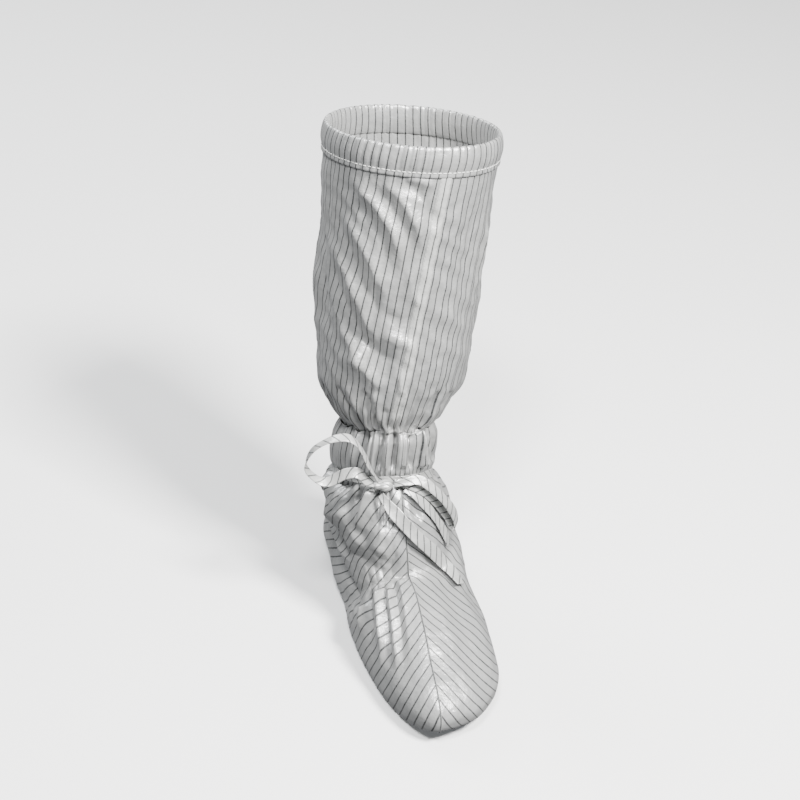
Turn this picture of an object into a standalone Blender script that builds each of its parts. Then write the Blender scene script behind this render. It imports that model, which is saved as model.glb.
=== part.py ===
"""Antistatic overboot for the left foot, worn over a shoe in a clean room.

A soft sole closes a gathered cloth upper, an elastic joins the upper to a tall
shaft, and a tape is tied in a bow round the ankle. Units are metres and +Z is up.
The toe points to -Y, the outer side of the foot is +X, and the origin lies on the
floor under the heel.
"""

from collections import namedtuple
from math import copysign, cos, exp, pi, radians, sin, sqrt

import bmesh
import bpy
from mathutils import Vector

# Driving sizes
FOOT_LENGTH = 0.278
BALL_WIDTH = 0.1005
TIE_HEIGHT = 0.130
SHAFT_LENGTH = 0.231
SHAFT_WIDTH = 0.126
HEEL_BACK = 0.040

# How far the worn shaft leans back over the heel, and to the outer side
SHAFT_LEAN = radians(10.0)
SHAFT_SIDE_LEAN = radians(3.3)

# Cloth, sole and tape
CLOTH_THICKNESS = 0.0010
SOLE_THICKNESS = 0.0035
SOLE_CHAMFER = 0.0008
TAPE_WIDTH = 0.0080
TAPE_THICKNESS = 0.0010
GAP = 0.0003

# Front seam of the shaft and centre seam of the foot
SHAFT_SEAM_WIDTH = 0.0060
SHAFT_SEAM_THICKNESS = 0.0007
SHAFT_SEAM_TURN = (radians(-11.0), radians(10.0))
VAMP_SEAM_WIDTH = 0.0024
VAMP_SEAM_THICKNESS = 0.0010

# Flat spots and curves of the sole, along the foot from the back of the heel
HEEL_FLAT = (0.012, 0.085)
BALL_FLAT = (0.160, 0.210)
HEEL_LIFT = 0.0015
ARCH_LIFT = 0.0025
TOE_SPRING = 0.0070
SPRING_REACH = 0.040
NOSE_PER_SKEW = 5.0

# Groove that the instep elastic pulls into the cloth, on a slanting plane
INSTEP_FRONT = (0.167, 0.066)
INSTEP_SIDE = (0.124, 0.010)
INSTEP_DEPTH = 0.0035
INSTEP_SPREAD = 0.008
INSTEP_FADE = 0.020

# Mesh fineness
SIDES = 42
LEVEL_STEP = 0.5
SOLE_STATIONS = SIDES // 2
ROUTE_STEPS = 2

# Sections of the foot and ankle, from the sole up to the ankle elastic
# front, back: place along the foot from the heel, in foot lengths
# front_z, back_z: height of the section at front and back, in tie heights
# shift, inner, outer, heel: middle and half widths, in ball widths
# heel_at, ball_at: where heel and ball are widest, from 0 at the back to 1 at the front
# nose: how blunt the front of the section is
# skew: how much further forward and blunter the outer side is than the inner side
FootRing = namedtuple(
    "FootRing", "front front_z back back_z shift inner outer heel heel_at ball_at nose skew"
)
FOOT_RINGS = [
    FootRing(0.982, 0.009, 0.018, 0.009, 0.000, 0.368, 0.572, 0.333, 0.17, 0.62, 2.10, 0.08),
    FootRing(0.996, 0.069, 0.004, 0.062, 0.000, 0.388, 0.602, 0.358, 0.17, 0.62, 2.10, 0.08),
    FootRing(1.000, 0.131, 0.000, 0.131, 0.000, 0.393, 0.607, 0.368, 0.17, 0.62, 2.05, 0.08),
    FootRing(0.978, 0.215, 0.002, 0.200, 0.000, 0.383, 0.587, 0.368, 0.17, 0.61, 2.00, 0.07),
    FootRing(0.928, 0.281, 0.007, 0.262, 0.000, 0.368, 0.567, 0.368, 0.18, 0.59, 1.95, 0.06),
    FootRing(0.856, 0.346, 0.014, 0.315, 0.000, 0.358, 0.552, 0.363, 0.20, 0.57, 1.90, 0.03),
    FootRing(0.763, 0.431, 0.022, 0.365, 0.000, 0.358, 0.537, 0.363, 0.23, 0.53, 1.80, 0.02),
    FootRing(0.676, 0.485, 0.029, 0.408, 0.000, 0.368, 0.527, 0.363, 0.27, 0.50, 1.75, 0.01),
    FootRing(0.604, 0.515, 0.034, 0.450, -0.005, 0.388, 0.517, 0.368, 0.31, 0.48, 1.70, 0.00),
    FootRing(0.583, 0.592, 0.038, 0.488, -0.010, 0.418, 0.517, 0.378, 0.36, 0.49, 1.80, 0.00),
    FootRing(0.563, 0.700, 0.041, 0.527, -0.020, 0.443, 0.502, 0.393, 0.40, 0.50, 1.90, 0.00),
    FootRing(0.536, 0.823, 0.054, 0.565, -0.030, 0.438, 0.463, 0.403, 0.45, 0.50, 2.00, 0.00),
    FootRing(0.504, 0.927, 0.076, 0.596, -0.035, 0.398, 0.408, 0.393, 0.48, 0.50, 2.00, 0.00),
    FootRing(0.471, 1.000, 0.101, 0.615, -0.040, 0.358, 0.358, 0.358, 0.50, 0.50, 2.00, 0.00),
    FootRing(0.478, 1.062, 0.088, 0.669, -0.040, 0.383, 0.383, 0.383, 0.50, 0.50, 2.00, 0.00),
    FootRing(0.482, 1.146, 0.081, 0.769, -0.040, 0.403, 0.403, 0.403, 0.50, 0.50, 2.00, 0.00),
    FootRing(0.473, 1.231, 0.085, 0.877, -0.035, 0.378, 0.378, 0.378, 0.50, 0.50, 2.00, 0.00),
    FootRing(0.451, 1.292, 0.101, 0.969, -0.030, 0.333, 0.333, 0.333, 0.50, 0.50, 2.00, 0.00),
]
TIE_LEVEL = 13
ANKLE_LEVEL = len(FOOT_RINGS) - 1

# Sections of the shaft: place up its axis in shaft lengths, half depth and half width
# in shaft widths, and how far the section tilts up at the front, in degrees
ShaftRing = namedtuple("ShaftRing", "up depth half tilt")
SHAFT_RINGS = [
    ShaftRing(0.026, 0.437, 0.333, 23.0),
    ShaftRing(0.074, 0.492, 0.401, 22.0),
    ShaftRing(0.156, 0.524, 0.440, 20.5),
    ShaftRing(0.294, 0.536, 0.456, 18.5),
    ShaftRing(0.520, 0.542, 0.472, 16.0),
    ShaftRing(0.753, 0.546, 0.492, 14.0),
    ShaftRing(0.905, 0.548, 0.500, 13.0),
    ShaftRing(0.987, 0.548, 0.496, 13.0),
]
RIM_LEVEL = ANKLE_LEVEL + len(SHAFT_RINGS)
CASING_LEVEL = RIM_LEVEL - 1

# Folded hem round the rim: level on the shaft, distance out from it and rise above it
CasingPoint = namedtuple("CasingPoint", "level out rise")
CASING_SECTION = [
    CasingPoint(CASING_LEVEL, GAP, 0.0),
    CasingPoint(CASING_LEVEL, GAP + CLOTH_THICKNESS, 0.0),
    CasingPoint(CASING_LEVEL + 0.5, 0.0024, 0.0),
    CasingPoint(RIM_LEVEL, 0.0016, 0.0008),
    CasingPoint(RIM_LEVEL, -0.0005, 0.0030),
    CasingPoint(RIM_LEVEL, -0.0026, 0.0008),
    CasingPoint(CASING_LEVEL + 0.5, -0.0032, 0.0),
    CasingPoint(CASING_LEVEL, -GAP - 2.0 * CLOTH_THICKNESS, 0.0),
    CasingPoint(CASING_LEVEL, -GAP - CLOTH_THICKNESS, 0.0),
    CasingPoint(RIM_LEVEL, -GAP - CLOTH_THICKNESS, GAP),
    CasingPoint(RIM_LEVEL, GAP, GAP),
]

# Bow: the knot sits on the tape at the front of the ankle
KNOT_ANGLE = radians(-17.0)
KNOT_SIZE = (0.0150, 0.0095, 0.0095)
KNOT_STAND_OFF = 0.0076

# Standing loop on the inner side, from the knot and back to it, in metres
# across: to the outer side, up: above the knot, ahead: towards the toe
# roll: how far the tape's width turns from pointing ahead to pointing down
LoopPoint = namedtuple("LoopPoint", "across up ahead roll")
LOOP_FACING = radians(-15.5)
MEDIAL_LOOP = [
    LoopPoint(-0.0038, 0.0038, 0.0000, 0),
    LoopPoint(-0.0104, 0.0178, 0.0035, 0),
    LoopPoint(-0.0151, 0.0298, 0.0055, 0),
    LoopPoint(-0.0212, 0.0402, 0.0065, 4),
    LoopPoint(-0.0282, 0.0446, 0.0070, 8),
    LoopPoint(-0.0368, 0.0430, 0.0070, 8),
    LoopPoint(-0.0448, 0.0382, 0.0065, 8),
    LoopPoint(-0.0521, 0.0310, 0.0060, 6),
    LoopPoint(-0.0564, 0.0221, 0.0055, 4),
    LoopPoint(-0.0571, 0.0140, 0.0050, 6),
    LoopPoint(-0.0521, 0.0067, 0.0045, 14),
    LoopPoint(-0.0456, 0.0025, 0.0045, 28),
    LoopPoint(-0.0390, 0.0032, 0.0050, 44),
    LoopPoint(-0.0340, 0.0072, 0.0055, 56),
    LoopPoint(-0.0282, 0.0117, 0.0060, 62),
    LoopPoint(-0.0209, 0.0137, 0.0060, 60),
    LoopPoint(-0.0166, 0.0112, 0.0050, 50),
    LoopPoint(-0.0128, 0.0052, 0.0035, 36),
    LoopPoint(-0.0068, 0.0004, 0.0008, 24),
]

# Loop and ends that lie on the cloth: angle round the foot in degrees, level, and
# distance out from the cloth in metres
LyingPoint = namedtuple("LyingPoint", "angle level out")
LATERAL_LOOP = [
    LyingPoint(-6.6, 12.95, 0.0080),
    LyingPoint(4, 12.75, 0.0098),
    LyingPoint(15, 12.35, 0.0112),
    LyingPoint(26, 11.7, 0.0118),
    LyingPoint(36, 10.9, 0.0116),
    LyingPoint(43, 10.2, 0.0106),
    LyingPoint(47, 9.7, 0.0086),
    LyingPoint(49, 9.5, 0.0064),
    LyingPoint(48, 9.8, 0.0046),
    LyingPoint(43, 10.4, 0.0042),
    LyingPoint(35, 11.1, 0.0044),
    LyingPoint(25, 11.8, 0.0046),
    LyingPoint(13, 12.3, 0.0048),
    LyingPoint(3, 12.6, 0.0050),
    LyingPoint(-6.2, 12.72, 0.0052),
]
LONG_TAIL = [
    LyingPoint(-20, 12.07, 0.0050),
    LyingPoint(-13, 11.6, 0.0042),
    LyingPoint(-4, 11.0, 0.0036),
    LyingPoint(8, 10.2, 0.0034),
    LyingPoint(20, 9.4, 0.0034),
    LyingPoint(33, 8.2, 0.0040),
    LyingPoint(41, 7.2, 0.0034),
    LyingPoint(45, 6.4, 0.0022),
]
SHORT_TAIL = [
    LyingPoint(3, 12.3, 0.0024),
    LyingPoint(14, 11.9, 0.0022),
    LyingPoint(25, 11.2, 0.0020),
    LyingPoint(34, 10.4, 0.0020),
    LyingPoint(41, 9.6, 0.0020),
    LyingPoint(46, 8.9, 0.0020),
]

# Finish: base colour and roughness
CLOTH_FINISH = ((0.62, 0.63, 0.62, 1.0), 0.45)
SEAM_FINISH = ((0.68, 0.69, 0.67, 1.0), 0.50)
TAPE_FINISH = ((0.66, 0.67, 0.65, 1.0), 0.48)
SOLE_FINISH = ((0.40, 0.41, 0.42, 1.0), 0.75)


# Any section in metres; bank is its tilt down to the outer side
Ring = namedtuple(
    "Ring", "front front_z back back_z shift bank inner outer heel heel_at ball_at nose skew"
)


def scaled_foot_ring(shares):
    """A foot section in metres."""
    return Ring(
        front=shares.front * FOOT_LENGTH,
        front_z=shares.front_z * TIE_HEIGHT,
        back=shares.back * FOOT_LENGTH,
        back_z=shares.back_z * TIE_HEIGHT,
        shift=shares.shift * BALL_WIDTH,
        bank=0.0,
        inner=shares.inner * BALL_WIDTH,
        outer=shares.outer * BALL_WIDTH,
        heel=shares.heel * BALL_WIDTH,
        heel_at=shares.heel_at,
        ball_at=shares.ball_at,
        nose=shares.nose,
        skew=shares.skew,
    )


def scaled_shaft_ring(shares, ankle):
    """A shaft section in metres: an oval across the axis that rises from the ankle ring."""
    climb = shares.up * SHAFT_LENGTH
    along = 0.5 * (ankle.front + ankle.back) - climb * sin(SHAFT_LEAN)
    height = 0.5 * (ankle.front_z + ankle.back_z) + climb * cos(SHAFT_LEAN)
    run = shares.depth * SHAFT_WIDTH * cos(radians(shares.tilt))
    rise = shares.depth * SHAFT_WIDTH * sin(radians(shares.tilt))
    half = shares.half * SHAFT_WIDTH
    return Ring(
        front=along + run,
        front_z=height + rise,
        back=along - run,
        back_z=height - rise,
        shift=ankle.shift + climb * sin(SHAFT_SIDE_LEAN),
        bank=SHAFT_SIDE_LEAN,
        inner=half,
        outer=half,
        heel=half,
        heel_at=0.5,
        ball_at=0.5,
        nose=2.0,
        skew=0.0,
    )


RINGS = [scaled_foot_ring(ring) for ring in FOOT_RINGS]
RINGS += [scaled_shaft_ring(ring, RINGS[ANKLE_LEVEL]) for ring in SHAFT_RINGS]


def soft_slope(index, column):
    """Slope of a column at a ring, flat at peaks and hollows."""
    last = len(RINGS) - 1
    before = RINGS[index][column] - RINGS[max(index - 1, 0)][column]
    after = RINGS[min(index + 1, last)][column] - RINGS[index][column]
    if index == 0:
        return after
    if index == last:
        return before
    if before * after <= 0.0:
        return 0.0
    return 2.0 * before * after / (before + after)


def ring_at(level):
    """The section at any level, on smooth curves through the rings."""
    index = min(int(level), len(RINGS) - 2)
    t = level - index
    values = []
    for column in range(len(Ring._fields)):
        start = RINGS[index][column]
        rise = RINGS[index + 1][column] - start
        leave = soft_slope(index, column)
        arrive = soft_slope(index + 1, column)
        bend = 3.0 * rise - 2.0 * leave - arrive
        twist = leave + arrive - 2.0 * rise
        values.append(start + t * (leave + t * (bend + t * twist)))
    return Ring(*values)


def half_width(ring, share, outer_side):
    """Half width of a section at a share of its length, from back 0 to front 1."""
    lean = ring.skew if outer_side else -ring.skew
    ball = ring.outer if outer_side else ring.inner
    ball_at = ring.ball_at + lean
    if share >= ball_at:
        to_front = (share - ball_at) / (1.0 - ball_at)
        return ball * sqrt(max(0.0, 1.0 - to_front ** (ring.nose + NOSE_PER_SKEW * lean)))
    if share <= ring.heel_at:
        to_back = (ring.heel_at - share) / ring.heel_at
        return ring.heel * sqrt(max(0.0, 1.0 - to_back ** 2))
    t = (share - ring.heel_at) / (ball_at - ring.heel_at)
    return ring.heel + (ball - ring.heel) * t * t * (3.0 - 2.0 * t)


def sole_lift(along):
    """Height of the sole above the floor: flat at heel and ball, raised between and at the toe."""
    if along < HEEL_FLAT[0]:
        return HEEL_LIFT * (1.0 - along / HEEL_FLAT[0]) ** 2
    if along <= HEEL_FLAT[1]:
        return 0.0
    if along < BALL_FLAT[0]:
        t = (along - HEEL_FLAT[1]) / (BALL_FLAT[0] - HEEL_FLAT[1])
        return ARCH_LIFT * sin(pi * t) ** 2
    if along <= BALL_FLAT[1]:
        return 0.0
    return TOE_SPRING * ((along - BALL_FLAT[1]) / (FOOT_LENGTH - BALL_FLAT[1])) ** 2


def smooth_skin(angle, level):
    """The cloth before the elastic gathers it: angle 0 is the front, positive to the outer side."""
    ring = ring_at(level)
    share = 0.5 * (1.0 + cos(angle))
    along = ring.back + (ring.front - ring.back) * share
    height = ring.back_z + (ring.front_z - ring.back_z) * share
    height += sole_lift(along) * max(0.0, 1.0 - height / SPRING_REACH)
    across = copysign(half_width(ring, share, sin(angle) > 0.0), sin(angle))
    return Vector((ring.shift + across, HEEL_BACK - along, height - across * sin(ring.bank)))


def outward(place, angle, level):
    """Unit direction out of a surface that is given by angle and level."""
    turn = 0.01
    climb = 0.02
    around = place(angle + turn, level) - place(angle - turn, level)
    up = place(angle, level + climb) - place(angle, level - climb)
    return around.cross(up).normalized()


def instep_groove(point):
    """How deep the instep elastic pulls the cloth in at a point."""
    run = INSTEP_FRONT[0] - INSTEP_SIDE[0]
    climb = INSTEP_FRONT[1] - INSTEP_SIDE[1]
    along = HEEL_BACK - point.y - INSTEP_FRONT[0]
    above = point.z - INSTEP_FRONT[1]
    distance = (along * climb - above * run) / sqrt(run * run + climb * climb)
    fade = min(1.0, point.z / INSTEP_FADE)
    return INSTEP_DEPTH * fade * exp(-0.5 * (distance / INSTEP_SPREAD) ** 2)


def skin(angle, level):
    """Outer face of the cloth."""
    point = smooth_skin(angle, level)
    return point - outward(smooth_skin, angle, level) * instep_groove(point)


def off_skin(angle, level, out):
    """A point at a distance out from the cloth."""
    return skin(angle, level) + outward(skin, angle, level) * out


def steps(first, last, step):
    """Levels from first to last, with the whole multiples of a step between them."""
    levels = [first]
    multiple = int(first / step) + 1
    while multiple * step < last - 0.2 * step:
        levels.append(multiple * step)
        multiple += 1
    levels.append(last)
    return levels


def full_turn():
    """Angles once round the boot."""
    return [2.0 * pi * k / SIDES for k in range(SIDES)]


def finish_material(name, finish):
    """A plain material with the colour and roughness of a piece."""
    material = bpy.data.materials.new(name)
    material.use_nodes = True
    shader = material.node_tree.nodes["Principled BSDF"]
    shader.inputs["Base Color"].default_value = finish[0]
    shader.inputs["Roughness"].default_value = finish[1]
    shader.inputs["Metallic"].default_value = 0.0
    return material


def add_piece(name, mesh, finish):
    """Put a mesh in the boot's collection as a named piece."""
    piece = bpy.data.objects.new(name, mesh)
    mesh.materials.append(finish_material(name, finish))
    mesh.shade_smooth()
    bpy.data.collections["overboot"].objects.link(piece)
    return piece


def lofted(name, rows, closed):
    """A mesh through rows of points, joined end to end where the rows are closed rings."""
    shape = bmesh.new()
    rings = [[shape.verts.new(point) for point in row] for row in rows]
    count = len(rows[0])
    spans = count if closed else count - 1
    for low, high in zip(rings, rings[1:]):
        for k in range(spans):
            following = (k + 1) % count
            shape.faces.new((low[k], low[following], high[following], high[k]))
    mesh = bpy.data.meshes.new(name)
    shape.to_mesh(mesh)
    shape.free()
    return mesh


def thicken(piece, thickness, side):
    """Give an open surface its thickness: side -1 inwards, 1 outwards, 0 both ways."""
    wall = piece.modifiers.new("wall", "SOLIDIFY")
    wall.thickness = thickness
    wall.offset = side


def cloth_tube(name, first, last):
    """A hollow cloth panel round the boot, between two levels."""
    rows = [[skin(angle, level) for angle in full_turn()] for level in steps(first, last, LEVEL_STEP)]
    piece = add_piece(name, lofted(name, rows, True), CLOTH_FINISH)
    thicken(piece, CLOTH_THICKNESS, -1.0)


def shaft_start():
    """Level of the shaft's lower edge, a gap above the upper's edge."""
    return ANKLE_LEVEL + GAP / (RINGS[ANKLE_LEVEL + 1].front_z - RINGS[ANKLE_LEVEL].front_z)


def sole_outline(angle, inset):
    """A point of the sole's edge, set in from the lowest ring of the upper."""
    turn = 0.01
    here = skin(angle, 0.0)
    around = skin(angle + turn, 0.0) - skin(angle - turn, 0.0)
    inwards = Vector((-around.y, around.x, 0.0)).normalized()
    return here + inwards * inset


def sole_ring(inset, rise):
    """Points round the sole at a height above its underside, clockwise from the toe."""
    points = []
    for k in range(2 * SOLE_STATIONS):
        point = sole_outline(pi * k / SOLE_STATIONS, inset)
        points.append(Vector((point.x, point.y, sole_lift(HEEL_BACK - point.y) + rise)))
    return points


def add_sole():
    """Soft sole inside the lower edge of the upper, with ruled top and underside."""
    edge = CLOTH_THICKNESS + GAP
    layers = [
        sole_ring(edge + SOLE_CHAMFER, 0.0),
        sole_ring(edge, SOLE_CHAMFER),
        sole_ring(edge, SOLE_THICKNESS),
    ]
    mesh = lofted("sole", layers, True)
    shape = bmesh.new()
    shape.from_mesh(mesh)
    shape.verts.ensure_lookup_table()
    count = 2 * SOLE_STATIONS
    for start, upwards in ((0, False), (2 * count, True)):
        for k in range(SOLE_STATIONS):
            outline = [k, k + 1, count - k - 1, (count - k) % count]
            corners = list(dict.fromkeys(outline))
            if not upwards:
                corners.reverse()
            shape.faces.new([shape.verts[start + corner] for corner in corners])
    shape.to_mesh(mesh)
    shape.free()
    piece = add_piece("sole", mesh, SOLE_FINISH)
    piece.data.set_sharp_from_angle(angle=radians(40.0))


def add_top_casing():
    """Folded hem that holds the elastic, closed round the rim of the shaft."""
    rows = []
    for point in CASING_SECTION + CASING_SECTION[:1]:
        lift = Vector((0.0, 0.0, point.rise))
        rows.append([off_skin(angle, point.level, point.out) + lift for angle in full_turn()])
    mesh = lofted("top_casing", rows, True)
    shape = bmesh.new()
    shape.from_mesh(mesh)
    bmesh.ops.remove_doubles(shape, verts=shape.verts, dist=1e-6)
    shape.to_mesh(mesh)
    shape.free()
    add_piece("top_casing", mesh, CLOTH_FINISH)


def seam_strip(name, levels, turn, width, thickness):
    """A raised seam along the cloth, centred on an angle that may change with the level."""
    rows = []
    for level in levels:
        middle = turn(level)
        reach = (skin(middle + 0.01, level) - skin(middle - 0.01, level)).length / 0.02
        spread = 0.5 * width / reach
        row = [off_skin(middle + share * spread, level, GAP) for share in (-1.0, 0.0, 1.0)]
        rows.append(row)
    piece = add_piece(name, lofted(name, rows, False), SEAM_FINISH)
    thicken(piece, thickness, 1.0)


def shaft_seam_angle(level):
    """Angle of the shaft's front seam, which turns steadily from ankle to rim."""
    ankle = RINGS[ANKLE_LEVEL].front_z
    share = (ring_at(level).front_z - ankle) / (RINGS[RIM_LEVEL].front_z - ankle)
    return SHAFT_SEAM_TURN[0] + (SHAFT_SEAM_TURN[1] - SHAFT_SEAM_TURN[0]) * share


def vamp_seam_angle(level):
    """The centre seam of the foot keeps to its front."""
    return 0.0


def add_tie_band():
    """Tape pulled tight round the ankle, in the hollow of the cloth."""
    levels = [TIE_LEVEL - LEVEL_STEP, TIE_LEVEL, TIE_LEVEL + LEVEL_STEP]
    rows = [[off_skin(angle, level, GAP) for angle in full_turn()] for level in levels]
    piece = add_piece("tie_band", lofted("tie_band", rows, True), TAPE_FINISH)
    thicken(piece, TAPE_THICKNESS, 1.0)


def knot_centre():
    """Middle of the knot, in front of the tape."""
    return off_skin(KNOT_ANGLE, TIE_LEVEL, KNOT_STAND_OFF)


def add_knot():
    """Rounded knot from a subdivided block."""
    shape = bmesh.new()
    bmesh.ops.create_cube(shape, size=1.0)
    bmesh.ops.scale(shape, vec=KNOT_SIZE, verts=shape.verts)
    bmesh.ops.translate(shape, vec=knot_centre(), verts=shape.verts)
    mesh = bpy.data.meshes.new("tie_knot")
    shape.to_mesh(mesh)
    shape.free()
    piece = add_piece("tie_knot", mesh, TAPE_FINISH)
    rounding = piece.modifiers.new("rounding", "SUBSURF")
    rounding.levels = 2
    rounding.render_levels = 2


def smooth_route(points):
    """Points on a smooth curve through a route's own points."""
    route = []
    last = len(points) - 1
    for k in range(last):
        before = points[max(k - 1, 0)]
        start = points[k]
        end = points[k + 1]
        after = points[min(k + 2, last)]
        for part in range(ROUTE_STEPS):
            t = part / ROUTE_STEPS
            leave = 0.5 * (end - before)
            arrive = 0.5 * (after - start)
            bend = 3.0 * (end - start) - 2.0 * leave - arrive
            twist = leave + arrive - 2.0 * (end - start)
            route.append(start + t * (leave + t * (bend + t * twist)))
    route.append(points[last])
    return route


def add_ribbon(name, centres, sides):
    """Flat tape along a route, with the direction of its width at each point."""
    half = 0.5 * TAPE_WIDTH
    rows = []
    for centre, side in zip(smooth_route(centres), smooth_route(sides)):
        across = side.normalized() * half
        rows.append([centre - across, centre + across])
    piece = add_piece(name, lofted(name, rows, False), TAPE_FINISH)
    thicken(piece, TAPE_THICKNESS, 0.0)


def add_standing_loop(name, rows):
    """Bow loop that stands up beside the knot and faces a little to the inner side."""
    across = Vector((cos(LOOP_FACING), sin(LOOP_FACING), 0.0))
    ahead = Vector((sin(LOOP_FACING), -cos(LOOP_FACING), 0.0))
    up = Vector((0.0, 0.0, 1.0))
    knot = knot_centre()
    centres = []
    sides = []
    for row in rows:
        centres.append(knot + across * row.across + up * row.up + ahead * row.ahead)
        roll = radians(row.roll)
        sides.append(ahead * cos(roll) - up * sin(roll))
    add_ribbon(name, centres, sides)


def add_lying_ribbon(name, rows):
    """Tape that lies flat along the cloth, out and, for a loop, back again."""
    centres = [off_skin(radians(row.angle), row.level, row.out) for row in rows]
    start = centres[0]
    reach = max(centres, key=lambda point: (point - start).length) - start
    sides = []
    for row in rows:
        normal = outward(skin, radians(row.angle), row.level)
        sides.append(normal.cross(reach).normalized())
    add_ribbon(name, centres, sides)


def main():
    for leftover in list(bpy.data.objects):
        bpy.data.objects.remove(leftover)
    bpy.context.scene.collection.children.link(bpy.data.collections.new("overboot"))

    add_sole()
    cloth_tube("upper", 0.0, ANKLE_LEVEL)
    cloth_tube("shaft", shaft_start(), RIM_LEVEL)
    add_top_casing()

    seam_levels = steps(ANKLE_LEVEL + LEVEL_STEP, CASING_LEVEL - 0.05, LEVEL_STEP)
    seam_strip("shaft_seam", seam_levels, shaft_seam_angle, SHAFT_SEAM_WIDTH, SHAFT_SEAM_THICKNESS)
    seam_levels = steps(LEVEL_STEP, TIE_LEVEL - 2 * LEVEL_STEP, LEVEL_STEP)
    seam_strip("vamp_seam", seam_levels, vamp_seam_angle, VAMP_SEAM_WIDTH, VAMP_SEAM_THICKNESS)

    add_tie_band()
    add_knot()
    add_standing_loop("tie_loop_medial", MEDIAL_LOOP)
    add_lying_ribbon("tie_loop_lateral", LATERAL_LOOP)
    add_lying_ribbon("tie_tail_long", LONG_TAIL)
    add_lying_ribbon("tie_tail_short", SHORT_TAIL)


if __name__ == "__main__":
    main()
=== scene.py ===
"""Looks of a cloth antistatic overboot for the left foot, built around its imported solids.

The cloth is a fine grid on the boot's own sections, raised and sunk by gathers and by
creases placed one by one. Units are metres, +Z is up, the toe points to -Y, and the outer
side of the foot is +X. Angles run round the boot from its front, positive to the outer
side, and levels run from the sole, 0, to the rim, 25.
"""

from collections import namedtuple
from math import cos, pi, radians, sin, sqrt

import bmesh
import bpy
import numpy as np
from mathutils import Matrix, Vector


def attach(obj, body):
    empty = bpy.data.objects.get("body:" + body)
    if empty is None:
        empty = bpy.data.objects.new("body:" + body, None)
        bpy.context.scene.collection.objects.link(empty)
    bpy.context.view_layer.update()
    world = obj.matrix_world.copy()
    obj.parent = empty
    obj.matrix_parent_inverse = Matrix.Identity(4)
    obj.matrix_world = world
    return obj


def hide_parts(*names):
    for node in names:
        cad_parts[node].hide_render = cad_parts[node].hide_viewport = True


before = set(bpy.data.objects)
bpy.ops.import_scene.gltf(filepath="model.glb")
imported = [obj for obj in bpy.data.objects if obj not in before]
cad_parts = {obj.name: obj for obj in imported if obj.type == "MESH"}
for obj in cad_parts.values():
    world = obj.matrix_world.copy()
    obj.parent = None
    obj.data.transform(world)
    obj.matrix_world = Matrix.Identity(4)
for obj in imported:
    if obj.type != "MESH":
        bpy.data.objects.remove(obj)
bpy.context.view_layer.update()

# Driving sizes of the boot
FOOT_LENGTH = 0.278
BALL_WIDTH = 0.1005
TIE_HEIGHT = 0.130
SHAFT_LENGTH = 0.231
SHAFT_WIDTH = 0.126
HEEL_BACK = 0.040
SHAFT_LEAN = radians(10.0)
SHAFT_SIDE_LEAN = radians(3.3)

# Cloth, tape and seams
CLOTH_THICKNESS = 0.0006
TAPE_WIDTH = 0.0080
TAPE_THICKNESS = 0.0010
LONG_TAIL_WIDTH = 0.0104
SHAFT_SEAM_WIDTH = 0.0092
SHAFT_SEAM_TURN = (radians(-11.0), radians(10.0))
VAMP_SEAM_WIDTH = 0.0022
SEAM_SUNK = 0.0004

# Stitches: their length, the gap between two of them, and the radius of the thread
Stitch = namedtuple("Stitch", "length gap radius")
CASING_STITCH = Stitch(0.0030, 0.0008, 0.00048)
SEAM_STITCH = Stitch(0.0023, 0.0012, 0.00022)
INSTEP_STITCH = Stitch(0.0020, 0.0013, 0.00022)

# Colours of the striped cloths: pale and shaded ground, and stripe
ClothTone = namedtuple("ClothTone", "pale shade stripe")
CLOTH_TONE = ClothTone((0.285, 0.286, 0.281), (0.250, 0.253, 0.251), (0.010, 0.011, 0.012))
TAPE_TONE = ClothTone((0.400, 0.403, 0.392), (0.355, 0.358, 0.350), (0.028, 0.030, 0.032))
# The seam is the boot's own cloth; its paler ground is painted light, standing for the light that its
# raised bands catch
SEAM_PAINTED_LIGHT_TONE = ClothTone((0.460, 0.462, 0.450), (0.400, 0.402, 0.390), (0.012, 0.013, 0.014))
THREAD_COLOUR = (0.62, 0.62, 0.60)
FINE_THREAD_COLOUR = (0.38, 0.38, 0.37)

# Dark stripes of the cloth: distance between them, their width, how far they waver, and
# their slant on the tape
STRIPE_PITCH = 0.0058
STRIPE_WIDTH = 0.0010
STRIPE_WAVER = 0.0003
TAPE_BIAS = radians(42.0)

# Distance between the weave's threads, across and along the stripes
WARP_PITCH = 0.00062
WEFT_PITCH = 0.00054

# Stripes of the foot's two halves: directions across the planes that they lie on, at the
# front and at the heel, and where along the boot the heel's planes take over
INNER_STRIPES = (-0.892, 0.395, 0.220)
OUTER_STRIPES = (0.766, 0.201, 0.612)
INNER_HEEL_STRIPES = (0.55, 0.50, 0.67)
OUTER_HEEL_STRIPES = (-0.55, 0.50, 0.67)
HEEL_BLEND = (-0.085, -0.015)

# How far each half's stripes are spread, how far the outer half's are shifted, and the least
# slope across them, which keeps them close together where the cloth runs along their planes
INNER_SPREAD = 1.04
OUTER_SPREAD = 1.02
OUTER_PHASE = 0.0021
LEAST_SLOPE = 0.95

# How deep the creases are, against the tables below
SHAFT_CREASING = 1.6
NECK_CREASING = 1.7
FOOT_CREASING = 1.4
VAMP_CREASING = 1.3

# Random unevenness of the cloth: height and wavelength of each layer of waves, and the seed
# that it is drawn from
Crumple = namedtuple("Crumple", "height wavelength seed")
SHAFT_SWELL = Crumple(0.00050, 0.055, 11)
SHAFT_RIPPLE = Crumple(0.00020, 0.024, 12)
SHAFT_DRAPE = Crumple(0.00040, 0.030, 13)
SHAFT_CRINKLE = Crumple(0.00026, 0.014, 14)
FOOT_SWELL = Crumple(0.00045, 0.050, 21)
FOOT_RIPPLE = Crumple(0.00018, 0.022, 22)
FOOT_DRAPE = Crumple(0.00050, 0.030, 23)
FOOT_CRINKLE = Crumple(0.00020, 0.015, 24)

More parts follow.
